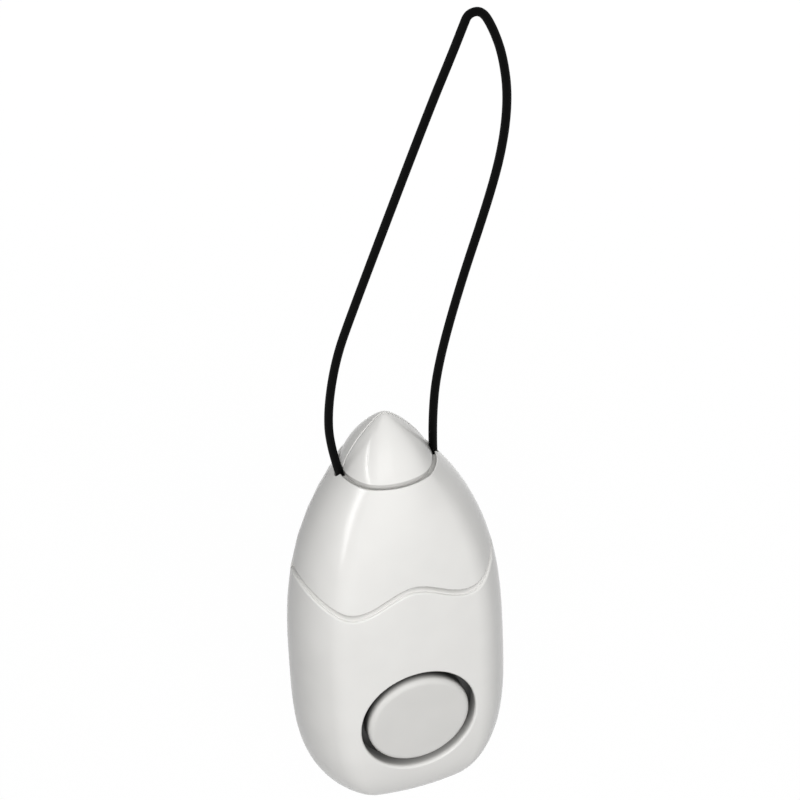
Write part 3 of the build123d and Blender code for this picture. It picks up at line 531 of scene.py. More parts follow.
class CaseForm:
    """The case's outer form: at each height a section of tangent arcs. Lengths are in metres, x and y
    from the case's axis, h from its foot."""

    def __init__(self, case):
        self.case = case

    def half(self, h, widest, neck, low_power, high_power):
        """Half a width or a depth at heights h, from its widest place in to the collar's."""
        low = self.case.widest_height
        drop = np.clip((low - h) / low, 0, 1)
        rise = np.clip((h - low) / (self.case.collar_height - low), 0, None)
        return np.where(
            h < low, widest * (1 - drop**low_power) ** (1 / low_power),
            widest - (widest - neck) * rise**high_power,
        )

    def section(self, h):
        """The section at heights h."""
        case = self.case
        h = np.asarray(h, float)
        width, front, rear = (
            np.maximum(self.half(h, widest, neck, *powers), LEAST) for widest, neck, powers in (
                (case.width / 2, case.collar_width / 2, (LOWER_WIDTH_POWER, UPPER_WIDTH_POWER)),
                (case.front_depth, case.collar_depth, (LOWER_DEPTH_POWER, UPPER_DEPTH_POWER)),
                (case.rear_depth, case.collar_depth, (LOWER_DEPTH_POWER, UPPER_DEPTH_POWER)),
            )
        )
        rise = np.clip((h - case.widest_height) / (case.collar_height - case.widest_height), 0, None)
        low = case.front_radius * (width / (case.width / 2)) ** 2
        high = 1 / (1 / case.front_radius + (1 / case.collar_radius - 1 / case.front_radius) * rise**4)
        panel = np.where(h < case.widest_height, low, high)
        panel = np.maximum(panel, LEAST_CROWN * PANEL_SHARE * width)
        return arc_section(width, front, rear, panel)

    def across(self, h, share, rear_y):
        """Points round the front, and their facings: share runs from -1 to 1 between the two places
        at depth rear_y on the sides."""
        s = self.section(h)
        lengths = [
            s["panel"] * s["turn"], s["crease"] * (CORNER - s["turn"]), s["side"] * (pi / 2 - CORNER),
            s["flank"] * np.arcsin(np.clip(rear_y / s["flank"], -1, 1)),
        ]
        reach = np.abs(share) * sum(lengths)
        starts = [lengths[0], lengths[0] + lengths[1], lengths[0] + lengths[1] + lengths[2]]
        facing = np.select(
            [reach < starts[0], reach < starts[1], reach < starts[2]],
            [reach / s["panel"], s["turn"] + (reach - starts[0]) / s["crease"],
             CORNER + (reach - starts[1]) / s["side"]],
            pi / 2 + (reach - starts[2]) / s["flank"],
        )
        x, y = at_facing(s, facing)
        sign = np.where(share < 0, -1.0, 1.0)
        return x * sign, y, facing * sign

    def facing_at(self, x, y, h):
        """The section's facing towards a point on or near the form, negative on the left, and how far
        outside it lies."""
        s = self.section(h)
        side_of = np.where(x < 0, -1, 1)
        x = np.abs(x)
        panel = np.arctan2(x, s["panel"] - s["front"] - y)
        crease = np.arctan2(x - s["crease_x"], s["crease_y"] - y)
        side = np.arctan2(x - s["width"] + s["side"], -y)
        flank = np.arctan2(x - s["width"] + s["flank"], -y)
        back = np.arctan2(x, s["rear"] - s["back"] - y)
        facing = np.where(panel > s["turn"], np.where(crease > CORNER, side, crease), panel)
        facing = np.where(y > 0, np.where(flank > pi / 2 + s["join"], back, flank), facing)
        px, py = at_facing(s, facing)
        return facing * side_of, (x - px) * np.sin(facing) - (y - py) * np.cos(facing)

    def normal(self, h, facing):
        """The outward normal where the section at h faces a way. facing is negative on the left."""
        small = 0.01 * MM
        turn = np.abs(facing)
        below, above = np.maximum(h - small, small), h + small
        reaches = []
        for height in (below, above):
            x, y = at_facing(self.section(height), turn)
            reaches.append(x * np.sin(turn) - y * np.cos(turn))
        slope = (reaches[1] - reaches[0]) / (above - below)
        return unit(np.stack([np.sin(facing), -np.cos(facing), -slope], -1))

    def sunk(self, points, depth):
        """Points on the form, moved in along its normal."""
        facing, _ = self.facing_at(*points.T)
        return points - self.normal(points[:, 2], facing) * np.broadcast_to(depth, facing.shape)[:, None]

    def hit(self, starts, ways):
        """Where rays from inside meet the form. The form is convex, so each meets it once."""
        near, beyond = np.zeros(len(ways)), np.full(len(ways), 2 * self.case.width)
        for _ in range(HALVINGS):
            middle = (near + beyond) / 2
            x, y, h = (starts + ways * middle[:, None]).T
            _, outside = self.facing_at(x, y, np.clip(h, 0, self.case.collar_height))
            out = (outside > 0) | (h < 0) | (h > self.case.collar_height)
            near, beyond = np.where(out, near, middle), np.where(out, middle, beyond)
        return starts + ways * near[:, None]

    def along_seam(self, share, rear_y, drop):
        """Points on the form, below the wavy seam by drop."""
        h = np.full(len(share), SEAM_START * self.case.widest_height)
        for _ in range(SEAM_STEPS):
            x, y, _ = self.across(h, share, rear_y)
            h = seam_height(x) - drop
        return np.stack([x, y, h], -1)


def seam_height(x):
    return spline_heights(SEAM_POINTS, x / MM) * MM


def ring_faces(rows, columns):
    """Faces between rows of points that each close on themselves."""
    return [
        (row + c, row + d, row + columns + d, row + columns + c)
        for row in range(0, (rows - 1) * columns, columns)
        for c, d in zip(range(columns), [*range(1, columns), 0])
    ]


def placed(points, case):
    """Points about the case's axis and foot, as places in the scene."""
    return np.asarray(points) + np.array([case.axis_x, 0.0, case.foot_z])


def own_points(mesh, case):
    """A mesh's points from the case's axis and foot."""
    points = np.empty(3 * len(mesh.vertices))
    mesh.vertices.foreach_get("co", points)
    return points.reshape(-1, 3) - placed(np.zeros(3), case)


# How near points are merged on the mouldings that are made here, and on those copied from the solids
MOULDED_MERGE, COPIED_MERGE = 0.002 * MM, 0.001 * MM


def merge_doubles(mesh, apart, turn_out):
    """Merges what lies less than a distance apart, and turns the faces outwards where that is asked."""
    work = bmesh.new()
    work.from_mesh(mesh)
    bmesh.ops.remove_doubles(work, verts=work.verts, dist=apart)
    bmesh.ops.dissolve_degenerate(work, edges=work.edges, dist=apart / 2)
    if turn_out:
        bmesh.ops.recalc_face_normals(work, faces=work.faces)
    work.to_mesh(mesh)
    work.free()


def merged_mesh(name, points, faces):
    """A mesh whose doubles are merged and whose faces point out."""
    mesh = bpy.data.meshes.new(name)
    mesh.from_pydata([tuple(p) for p in points], [], faces)
    merge_doubles(mesh, MOULDED_MERGE, turn_out=True)
    return mesh


# The angle between faces from which an edge shows as a crease: on the mouldings that are made here, on
# those copied from the solids, and on what is grown on points
MOULDED_CREASE, COPIED_CREASE, GROWN_CREASE = radians(35), radians(30), radians(40)


def sharpen(mesh, angle):
    """Marks the edges that are sharper than an angle, and shades the rest smooth."""
    work = bmesh.new()
    work.from_mesh(mesh)
    for edge in work.edges:
        edge.smooth = edge.is_manifold and edge.calc_face_angle(0.0) < angle
    for face in work.faces:
        face.smooth = True
    work.to_mesh(mesh)
    work.free()


# How near the form a point lies, and the least cosine between its face and the form, where it is shaded
# by the form's normals: on the mouldings that are made here, and on those copied from the solids
MOULDED_MATCH = (0.06 * MM, 0.96)
COPIED_MATCH = (0.15 * MM, 0.88)

# The least cosine between a face and straight back on the flat back
BACK_MATCH = 0.9999


def give_true_normals(mesh, form, reach, alike):
    """Shades a mesh by the form's own normals where it lies within reach of the form and its faces
    point alike, and by its own where it belongs to the flat back."""
    points = own_points(mesh, form.case)
    facing, outside = form.facing_at(*points.T)
    true = form.normal(np.clip(points[:, 2], LEAST, form.case.collar_height), facing)
    corners = np.empty(3 * len(mesh.loops))
    mesh.corner_normals.foreach_get("vector", corners)
    corners = corners.reshape(-1, 3)
    vertex = np.empty(len(mesh.loops), int)
    mesh.loops.foreach_get("vertex_index", vertex)
    flat = np.empty(3 * len(mesh.polygons))
    mesh.polygons.foreach_get("normal", flat)
    sides = np.empty(len(mesh.polygons), int)
    mesh.polygons.foreach_get("loop_total", sides)
    flat = np.repeat(flat.reshape(-1, 3), sides, axis=0)
    on_back = flat[:, 1] > BACK_MATCH
    on_form = (np.abs(outside) < reach)[vertex] & (np.sum(true[vertex] * flat, axis=1) > alike)
    on_form &= ~on_back
    corners[on_form] = true[vertex][on_form]
    corners[on_back] = flat[on_back]
    mesh.normals_split_custom_set(corners.tolist())


def smooth_copy(node, name, form):
    """A merged, smooth copy of a CAD node."""
    mesh = nodes[node].data.copy()
    mesh.name = name
    merge_doubles(mesh, COPIED_MERGE, turn_out=False)
    sharpen(mesh, COPIED_CREASE)
    give_true_normals(mesh, form, *COPIED_MATCH)
    return mesh


def tube_between(start, end, radius, sides):
    """A closed round bar between two points."""
    way = (end - start).normalized()
    across = way.orthogonal().normalized()
    over = way.cross(across)
    turns = [2 * pi * k / sides for k in range(sides)]
    ring = [radius * (cos(t) * across + sin(t) * over) for t in turns]
    points = [start, *(start + p for p in ring), *(end + p for p in ring), end]
    faces = []
    for k in range(sides):
        a, b = 1 + k, 1 + (k + 1) % sides
        faces += [(0, b, a), (a, b, b + sides, a + sides), (1 + 2 * sides, a + sides, b + sides)]
    return merged_mesh("bar", points, faces)


def cord_points(case):
    """The cord's route in the scene."""
    return [Vector((case.axis_x + x * MM, 0.0, case.foot_z + h * MM)) for x, h in CORD_ROUTE]


def applied(piece, name):
    """The plain mesh of a piece with its modifiers applied. The piece itself is removed."""
    evaluated = piece.evaluated_get(bpy.context.evaluated_depsgraph_get())
    mesh = bpy.data.meshes.new_from_object(evaluated)
    mesh.name = name
    bpy.data.objects.remove(piece)
    return mesh


DRILL_SIDES = 40


def with_cord_holes(mesh, case, cord):
    """The mesh with the cord's two holes bored into the collar."""
    solid = new_piece("bored", mesh)
    route = cord_points(case)
    drills = []
    for near, beside in (route[:2], route[:-3:-1]):
        foot = near - (beside - near).normalized() * cord.hole_depth
        drills.append(new_piece("drill", tube_between(foot, beside, cord.hole, DRILL_SIDES)))
        bore = solid.modifiers.new("bore", "BOOLEAN")
        bore.object = drills[-1]
        bore.solver = "EXACT"
    bored = applied(solid, mesh.name)
    if len(bored.polygons) < len(mesh.polygons) / 2:
        raise RuntimeError(f"the cord's holes could not be bored into {mesh.name}")
    for drill in drills:
        bpy.data.objects.remove(drill)
    return bored


# The places along a rounded corner
ROUNDING = np.linspace(0, 1, 6)

# How finely the covers are drawn: stations across and rows up the upper cover, stations along the seam
# and round the parting on the lower cover, and its rings outside and inside
UPPER_STATIONS, UPPER_ROWS = 220, 80
SEAM_STATIONS, PARTING_STATIONS = 190, 230
OUTER_RINGS, INNER_RINGS = 70, 12

# How much of the collar's rim its two roundings take up
BROW_SHARE = 0.4

# How far off a surface a point still counts as on it, loosely and closely
TOUCH, SNUG = 0.05 * MM, 0.01 * MM

ACROSS = np.array([1.0, 0.0, 0.0])


def mark_painted_shade(mesh, share):
    """Writes down how much painted shade darkens each point of a mesh."""
    mark = mesh.attributes.new(PAINTED_SHADE_MARK, "FLOAT", "POINT")
    mark.data.foreach_set("value", np.asarray(share, float))


def round_axis(points, centre, inward):
    """How far points lie along an axis, and how far from it."""
    along = (points - centre) @ inward
    return along, np.linalg.norm(points - centre - along[:, None] * inward, axis=1)


def rounded(start, corner, end):
    """Rows of points that round a corner from start to end."""
    return [(1 - t) ** 2 * start + 2 * t * (1 - t) * corner + t**2 * end for t in ROUNDING]


def upper_cover_mesh(case, nose, cord, form):
    """The cover above the seam. Each row goes round its wall, outside and inside, and the rows climb from
    the seam to the collar, over its rim, down the groove and in to the opening."""
    rear_y = case.parting - case.gap / 2
    edge, wall, top = case.edge, case.wall, case.collar_height
    margin = edge / (GIRTH_SHARE * case.width)
    corner = [(1 - margin * (1 - t) ** 2, edge * t**2) for t in ROUNDING]
    outer = [(-s, d) for s, d in corner[::-1]]
    outer += [(s, 0.0) for s in np.linspace(margin - 1, 1 - margin, UPPER_STATIONS)[1:-1]]
    outer += corner
    inner = [(s, wall) for s, _ in outer[::-1]]
    share, hem = np.array(outer + inner).T
    outside = np.arange(len(share)) < len(outer)

    def skin(h, depth):
        """A row round the wall that climbs over the form, sunk by depth on the outside."""
        x, y, facing = form.across(h, share, rear_y)
        sink = np.where(outside, np.maximum(hem, depth), wall)[:, None]
        return np.stack([x, y, h + 0 * x], -1) - form.normal(h, facing) * sink

    def level(h, inset):
        """A row that lies level on the outside, in from the collar's outline by inset."""
        x, y, facing = form.across(np.full(len(share), top), share, rear_y)
        inward = np.stack([-np.sin(facing), np.cos(facing), 0 * facing], -1)
        sink = np.where(outside, np.maximum(hem, inset), wall)[:, None]
        return np.stack([x, y, np.where(outside, h, top - case.deck)], -1) + inward * sink

    low = form.along_seam(share, rear_y, 0.0)[:, 2]
    first = low + case.seam_edge
    rows = rounded(skin(low, case.seam_edge), skin(low, 0), skin(first, 0))
    climb = np.linspace(0, 1, UPPER_ROWS)[1:-1]
    rows += [skin(first + f * (top - edge - first), 0) for f in climb]
    deck = level(top, 0)
    rows = [np.where((~outside & (r[:, 2] > top - case.deck))[:, None], deck, r) for r in rows]
    rim = nose.inset - nose.groove
    brow = BROW_SHARE * rim
    before, corner = (
        np.where(outside[:, None], skin(height + 0 * low, 0), deck) for height in (top - edge, top)
    )
    rows += rounded(before, corner, level(top, brow))
    rows += rounded(level(top, rim - brow), level(top, rim), level(top - brow, rim))
    opening = case.collar_width / 2 - nose.opening
    rows += [level(top - nose.ledge, rim), level(top - nose.ledge, opening)]
    rows += [level(top - case.deck, opening)]
    faces = ring_faces(len(rows), len(share))
    for start in (0, (len(rows) - 1) * len(share)):
        for c in range(len(outer) - 1):
            across = len(share) - 1 - c
            faces.append(tuple(start + k for k in (c, c + 1, across - 1, across)))
    mesh = merged_mesh("upper_cover", placed(np.concatenate(rows), case), faces)
    mesh = with_cord_holes(mesh, case, cord)
    sharpen(mesh, MOULDED_CREASE)
    give_true_normals(mesh, form, *MOULDED_MATCH)
    points = own_points(mesh, case)
    # Painted shade in the groove round the nose, darker towards its floor
    under, down = -form.facing_at(*points.T)[1], top - points[:, 2]
    in_groove = (under > 2 * TOUCH) & (down < nose.ledge + TOUCH)
    groove_shade = np.interp(down, [2 * TOUCH, nose.ledge], [0.0, GROOVE_PAINTED_SHADE])
    mark_painted_shade(mesh, np.where(in_groove, groove_shade, 0))
    return mesh


def button_axis(button, form):
    """The way in along the button's tilted axis, and the point where it meets the case."""
    inward = np.array([0.0, cos(button.tilt), sin(button.tilt)])
    return inward, np.array([0.0, -float(form.section(button.height)["front"]), button.height])


# How steeply the lower cover's rings are fanned out from within, so that none runs along the seam, and
# how far up the sleeve its rows stand
FAN_TILT = radians(30)
SLEEVE_ROWS = (0.4, 0.7, 0.85, 0.93)


def lower_cover_mesh(case, button, form):
    """The cover below the seam: rings round the button's hole, from its sleeve over the lip and out to
    the seam's step and the parting, and back along the inside."""
    rear_y = case.parting - case.gap / 2
    edge, wall = case.edge, case.wall
    inward, centre = button_axis(button, form)
    spine = np.array([0.0, cos(FAN_TILT), sin(FAN_TILT)])
    heart = centre + spine * (rear_y - centre[1]) / spine[1]

    share = np.linspace(1, -1, SEAM_STATIONS)

    def border(drop, back):
        """The cover's outline, drop below the seam and back in front of the parting."""
        seam = form.along_seam(share * (1 - back / (GIRTH_SHARE * case.width)), rear_y, drop)
        first = np.arctan2(seam[0, 2] - heart[2], seam[0, 0])
        down = np.linspace(first, -pi - first, PARTING_STATIONS)[::-1][1:-1]
        ways = np.stack([np.cos(down), 0 * down, np.sin(down)], -1)
        starts = np.tile([0.0, rear_y - back, heart[2]], (len(down), 1))
        return np.concatenate([seam, form.hit(starts, ways)])

    step = case.gap + case.step_width
    brink, crown, foot = border(step + case.lip, edge), border(step, 0), border(case.gap, 0)
    slope = border(case.gap + case.shade_width, 0)
    at_seam = np.arange(len(brink)) < len(share)

    toward = brink - heart
    turns = np.arctan2(toward @ np.cross(ACROSS, spine), toward @ ACROSS)
    radial = np.cos(turns)[:, None] * ACROSS + np.sin(turns)[:, None] * np.cross(ACROSS, inward)

    def in_sleeve(radius, depth):
        return centre + inward * depth + radial * radius

    def on_rim(radius):
        return form.hit(in_sleeve(radius, button.depth), np.tile(-inward, (len(turns), 1)))

    def between(one, other, share):
        """Points on the form between two rings, as seen from the cover's heart."""
        ways = unit(one - heart)
        ways = ways + share * (unit(other - heart) - ways)
        return form.hit(np.tile(heart, (len(ways), 1)), unit(ways))

    rim, lip = on_rim(button.hole), on_rim(button.hole + button.lip)
    throat = rim + inward * button.lip
    shoulder = np.where(at_seam, case.step_depth, edge)
    seam_foot = case.step_depth + case.shade_depth
    rows = rounded(throat, rim, lip)
    rows += [between(lip, brink, f) for f in np.linspace(0, 1, OUTER_RINGS)[1:-1]]
    rows += rounded(brink, crown, form.sunk(crown, shoulder))
    rows += [form.sunk(crown, case.step_depth), form.sunk(slope, case.step_depth)]
    rows += [form.sunk(foot, np.where(at_seam, seam_foot, case.step_depth)), form.sunk(foot, wall)]
    sleeve = on_rim(button.hole + button.sleeve)
    rows += [form.sunk(between(foot, sleeve, f), wall) for f in np.linspace(0, 1, INNER_RINGS)[1:]]
    floor = in_sleeve(button.hole, button.depth)
    rows += [in_sleeve(button.hole + button.sleeve, button.depth), floor]
    rows += [floor + f * (throat - floor) for f in SLEEVE_ROWS]
    faces = ring_faces(len(rows) + 1, len(turns))
    count = len(rows) * len(turns)
    faces = [tuple(k % count for k in face) for face in faces]
    mesh = merged_mesh("lower_cover", placed(np.concatenate(rows), case), faces)
    sharpen(mesh, MOULDED_CREASE)
    give_true_normals(mesh, form, *MOULDED_MATCH)
    points = own_points(mesh, case)
    under = -form.facing_at(*points.T)[1]
    _, off_axis = round_axis(points, centre, inward)
    # Painted shade down the seam's step and foot, darker with depth below the case
    in_seam = np.interp(under, [0, case.step_depth, seam_foot], [0.0, STEP_PAINTED_SHADE, SEAM_PAINTED_SHADE])
    in_seam = np.where(under < seam_foot + 2 * TOUCH, in_seam, 0)
    # Painted shade down the button's slot, darker with depth
    in_slot = np.interp(under / MM, *SLOT_PAINTED_SHADE)
    mark_painted_shade(mesh, np.where(off_axis < button.hole + TOUCH, in_slot, in_seam))
    return mesh


# How finely an outline is drawn before and after it is spaced out evenly
OUTLINE_FACINGS, OUTLINE_STEPS = 1441, 1024


def soft_outline(section, softness, count):
    """The front half of a section's outline from left to right, its changes of curvature eased."""
    facings = np.radians(np.linspace(-180, 180, OUTLINE_FACINGS))
    x, y = at_facing(section, np.abs(facings))
    x = x * np.sign(facings)
    run = np.concatenate([[0.0], np.cumsum(np.hypot(np.diff(x), np.diff(y)))])
    even = np.linspace(0, run[-1], OUTLINE_STEPS, endpoint=False)
    outline = np.interp(even, run, x) + 1j * np.interp(even, run, y)
    waves = np.fft.fftfreq(len(even), run[-1] / len(even))
    outline = np.fft.ifft(np.fft.fft(outline) * np.exp(-2 * (pi * waves * softness) ** 2))
    x = outline.real * section["width"] / outline.real.max()
    y = outline.imag * section["front"] / -outline.imag.min()
    front = np.flatnonzero(y < 0)
    picked = np.linspace(front[0], front[-1], count)
    return np.interp(picked, front, x[front]), np.interp(picked, front, y[front])


# How much of the overhang above the nose's foot its broken edge takes up, and from how many times the
# foot's height the rows climb
NECK_BREAK, ABOVE_NECK = 0.2, 1.1

# The nose's stations round its front, its widths from foot to tip as shares, the rounding of the edges
# where its halves meet and the turns of that rounding
NOSE_STATIONS = 161
NOSE_WIDTHS = np.concatenate([np.linspace(1.0, 0.1, 60), np.linspace(0.09, 0.01, 9)])
NOSE_EDGE = 0.25 * MM
NOSE_BEVEL = np.radians([90.0, 67.5, 45.0, 22.5, 0.0])


def nose_mesh(name, case, nose, cord, forward):
    """Half of the nose, forward or rear: rings from the groove up to the rounded tip, each a half oval
    with a flat back."""
    gap = nose.halves_gap / 2
    half_width, depth = case.collar_width / 2 - nose.inset, case.collar_depth - nose.inset
    section = arc_section(half_width, depth, depth, case.collar_radius)
    outline = soft_outline(section, nose.softness, NOSE_STATIONS)
    height = nose.top + NOSE_BLUNTING - case.collar_height
    climb = []
    for q in NOSE_WIDTHS:
        thick = sqrt((q * q + NOSE_BLUNT**2) / (1 + NOSE_BLUNT**2))
        climb.append((q, height * (1 - thick**NOSE_UPPER_POWER) ** (1 / NOSE_LOWER_POWER)))
    cut = 1 - nose.neck_inset / half_width
    profile = [(cut, -nose.ledge), (cut, nose.neck), (1 - NECK_BREAK * (1 - cut), nose.neck)]
    profile += [(q, rise) for q, rise in climb if rise > ABOVE_NECK * nose.neck]
    round_it = (NOSE_STATIONS + 2 * len(NOSE_BEVEL), 1)
    rows = [np.tile([0.0, -gap, case.collar_height - nose.ledge], round_it)]
    for size, rise in profile:
        cut_back = min(NOSE_EDGE, (size * depth - gap) / 2)
        x, y = size * outline[0], np.minimum(size * outline[1], -gap - cut_back)
        ends_x = x[-1] - min(NOSE_EDGE, x[-1] / 2) * (1 - np.cos(NOSE_BEVEL))
        ends_y = -gap - cut_back * (1 - np.sin(NOSE_BEVEL))
        x = np.concatenate([-ends_x, x, ends_x[::-1]])
        y = np.concatenate([ends_y, y, ends_y[::-1]])
        rows.append(np.stack([x, y, np.full(len(x), case.collar_height + rise)], -1))
    rows.append(np.tile([0.0, -gap, nose.top], round_it))
    points = np.concatenate(rows)
    if not forward:
        points[:, 1] *= -1
    mesh = merged_mesh(name, placed(points, case), ring_faces(len(rows), len(rows[0])))
    mesh = with_cord_holes(mesh, case, cord)
    sharpen(mesh, MOULDED_CREASE)
    # Painted shade on the nose's cut-back foot above the collar
    neck = own_points(mesh, case)[:, 2] < case.collar_height + nose.neck + SNUG
    mark_painted_shade(mesh, np.where(neck, NECK_PAINTED_SHADE, 0))
    return mesh


# The button's hidden part: crown of the face, rows down the skirt in millimetres, play above the flange,
# the flange's reach past the hole and its thickness, the skirt's wall, the face's underside, and the
# radius and foot of the boss that meets the switch
BUTTON_CROWN = 0.10 * MM
SKIRT_ROWS = (2.1, 2.6, 3.4)
FLANGE_PLAY, FLANGE_REACH, FLANGE_THICKNESS = 0.15 * MM, 0.9 * MM, 1.0 * MM
SKIRT_WALL, FACE_UNDERSIDE = 1.4 * MM, 2.05 * MM
BOSS_RADIUS, BOSS_FOOT = 3.0 * MM, 4.0 * MM
BUTTON_STATIONS = 200

# The rows over the button's face, as shares of its radius, and round its edge
FACE_ROWS = np.linspace(0.1, 1, 12)
EDGE_TURNS = np.radians(np.linspace(8, 90, 12))


def button_mesh(case, button, form):
    """The button: its face, rounded edge, skirt and flange, turned about its tilted axis."""
    axis, centre = button_axis(button, form)
    up = np.cross(axis, ACROSS)
    radius, edge, top = button.hole - button.gap, button.edge, button.recess
    flange = button.depth + FLANGE_PLAY
    reach, inner, low = button.hole + FLANGE_REACH, radius - SKIRT_WALL, flange + FLANGE_THICKNESS
    profile = [
        *((f * (radius - edge), top - BUTTON_CROWN * (1 - f * f)) for f in (0.0, *FACE_ROWS)),
        *((radius - edge + edge * sin(t), top + edge * (1 - cos(t))) for t in EDGE_TURNS),
        *((radius, row * MM) for row in SKIRT_ROWS), (radius, flange - 2 * TOUCH), (radius, flange),
        (reach, flange), (reach, low), (inner, low), (inner, FACE_UNDERSIDE),
        (BOSS_RADIUS, FACE_UNDERSIDE), (BOSS_RADIUS, BOSS_FOOT), (0.0, BOSS_FOOT),
    ]
    turns = np.linspace(0, 2 * pi, BUTTON_STATIONS, endpoint=False)
    radial = np.cos(turns)[:, None] * ACROSS + np.sin(turns)[:, None] * up
    points = placed(np.concatenate([centre + axis * depth + r * radial for r, depth in profile]), case)
    mesh = merged_mesh("push_button", points, ring_faces(len(profile), BUTTON_STATIONS))
    sharpen(mesh, MOULDED_CREASE)
    along, off_axis = round_axis(own_points(mesh, case), centre, axis)
    # Painted shade down the button's edge and skirt, darker with depth along its axis
    mark_painted_shade(mesh, np.where(off_axis > radius - edge, np.interp(along / MM, *BUTTON_PAINTED_SHADE), 0))
    return mesh


class AlarmOperator(bpy.types.Operator):
    """What the alarm's operators share."""

    bl_options = {"REGISTER", "UNDO"}


class DOOR_ALARM_OT_front_upper_cover(AlarmOperator):
    """Makes the front cover above the wavy seam"""

    bl_idname = "door_alarm.front_upper_cover"
    bl_label = "Front upper cover"

    def execute(self, context):
        sizes = settings()
        mesh = upper_cover_mesh(sizes.case, sizes.nose, sizes.cord, CaseForm(sizes.case))
        add_piece("upper_cover", mesh, case_plastic(), "case", "front_upper_cover")
        return {"FINISHED"}


class DOOR_ALARM_OT_front_lower_cover(AlarmOperator):
    """Makes the front cover below the wavy seam, with the button's hole"""

    bl_idname = "door_alarm.front_lower_cover"
    bl_label = "Front lower cover"

    def execute(self, context):
        sizes = settings()
        mesh = lower_cover_mesh(sizes.case, sizes.button, CaseForm(sizes.case))
        add_piece("lower_cover", mesh, case_plastic(), "case", "front_lower_cover")
        return {"FINISHED"}


class DOOR_ALARM_OT_rear_cover(AlarmOperator):
    """Makes the rear cover and the battery door"""

    bl_idname = "door_alarm.rear_cover"
    bl_label = "Rear cover and battery door"

    def execute(self, context):
        form = CaseForm(settings().case)
        for node, name, body in (
            ("rear_cover", "back_cover", "case"), ("battery_door", "sliding_door", "battery_door"),
        ):
            mesh = smooth_copy(node, name, form)
            add_piece(name, mesh, case_plastic(), body, node)
        return {"FINISHED"}


class DOOR_ALARM_OT_nose(AlarmOperator):
    """Makes the nose's two halves"""

    bl_idname = "door_alarm.nose"
    bl_label = "Nose"

    def execute(self, context):
        sizes = settings()
        for half in ("nose_front", "nose_rear"):
            name = half + "_shell"
            mesh = nose_mesh(name, sizes.case, sizes.nose, sizes.cord, half == "nose_front")
            add_piece(name, mesh, case_plastic(), "case", half)
        return {"FINISHED"}


class DOOR_ALARM_OT_button(AlarmOperator):
    """Makes the push button"""

    bl_idname = "door_alarm.button"
    bl_label = "Push button"

    def execute(self, context):
        sizes = settings()
        # The button's painted shade is darker than the case's, down in the slot
        material = moulded_plastic(
            "satin_abs_button", sizes.colours.button, "#DEDDDA", roughness=0.34,
            dust=sizes.colours.deep_painted_shade,
        )
        mesh = button_mesh(sizes.case, sizes.button, CaseForm(sizes.case))
        add_piece("push_button", mesh, material, "button", "button")
        return {"FINISHED"}


class DOOR_ALARM_OT_cord(AlarmOperator):
    """Makes the cord loop that hangs from the door handle"""

    bl_idname = "door_alarm.cord"
    bl_label = "Cord loop"

    def execute(self, context):
        cord = settings().cord
        points = cord_points(settings().case)
        line = bpy.data.curves.new("loop", "CURVE")
        line.dimensions = "3D"
        spline = line.splines.new("NURBS")
        spline.points.add(len(points) - 1)
        for place, point in zip(spline.points, points):
            place.co = (*point, 1.0)
        spline.order_u = 3
        spline.use_endpoint_u = True
        spline.resolution_u = 16
        line.bevel_depth = cord.diameter / 2
        line.bevel_resolution = 6
        line.use_fill_caps = True
        material = braided_nylon("braided_black_nylon", settings().colours.cord)
        piece = add_piece("loop", line, material, "case", "hanging_cord")
        dress("cord_ends", material)
        return {"FINISHED"}


def start_tree(name, sizes, **others):
    """A geometry node tree that takes points, named sizes, a turn and a material, and its inputs."""
    tree = bpy.data.node_groups.new(name, "GeometryNodeTree")
    inputs = {
        "Geometry": "NodeSocketGeometry", **dict.fromkeys(sizes, "NodeSocketFloat"), **others,
        "Turn": "NodeSocketRotation", "Material": "NodeSocketMaterial",
    }
    for key, kind in inputs.items():
        tree.interface.new_socket(key, in_out="INPUT", socket_type=kind)
    tree.interface.new_socket("Geometry", in_out="OUTPUT", socket_type="NodeSocketGeometry")
    return tree, tree.nodes.new("NodeGroupInput").outputs


def finish_tree(tree, given, parts):
    """Ends a tree: the joined parts stand turned on every point, made real and given the material."""
    joined = add_node(tree, "GeometryNodeJoinGeometry")
    for part in parts:
        tree.links.new(part, joined.inputs["Geometry"])
    row = add_node(tree, "GeometryNodeInstanceOnPoints", {
        "Points": given["Geometry"], "Instance": joined.outputs["Geometry"], "Rotation": given["Turn"],
    })
    real = add_node(tree, "GeometryNodeRealizeInstances", {"Geometry": row.outputs["Instances"]})
    dressed = add_node(tree, "GeometryNodeSetMaterial", {
        "Geometry": real.outputs["Geometry"], "Material": given["Material"],
    })
    add_node(tree, "NodeGroupOutput", {"Geometry": dressed.outputs["Geometry"]})
    return tree


def grown_mesh(name, points, tree, values):
    """The plain mesh that a node tree makes on points with the given values."""
    base = bpy.data.meshes.new(name + "_points")
    base.from_pydata([tuple(p) for p in points], [], [])
    piece = new_piece(name + "_points", base)
    modifier = piece.modifiers.new("grown", "NODES")
    modifier.node_group = tree
    for item in tree.interface.items_tree:
        if item.in_out == "INPUT" and item.name in values:
            modifier[item.identifier] = values[item.name]
    mesh = applied(piece, name)
    if not mesh.polygons:
        raise RuntimeError(f"{name} came out empty")
    sharpen(mesh, GROWN_CREASE)
    return mesh


def raised(tree, geometry, height):
    """Geometry moved up by a height."""
    place = add_node(tree, "ShaderNodeCombineXYZ", {"Z": height})
    return add_node(tree, "GeometryNodeTransform", {
        "Geometry": geometry, "Translation": place.outputs["Vector"],
    }).outputs["Geometry"]


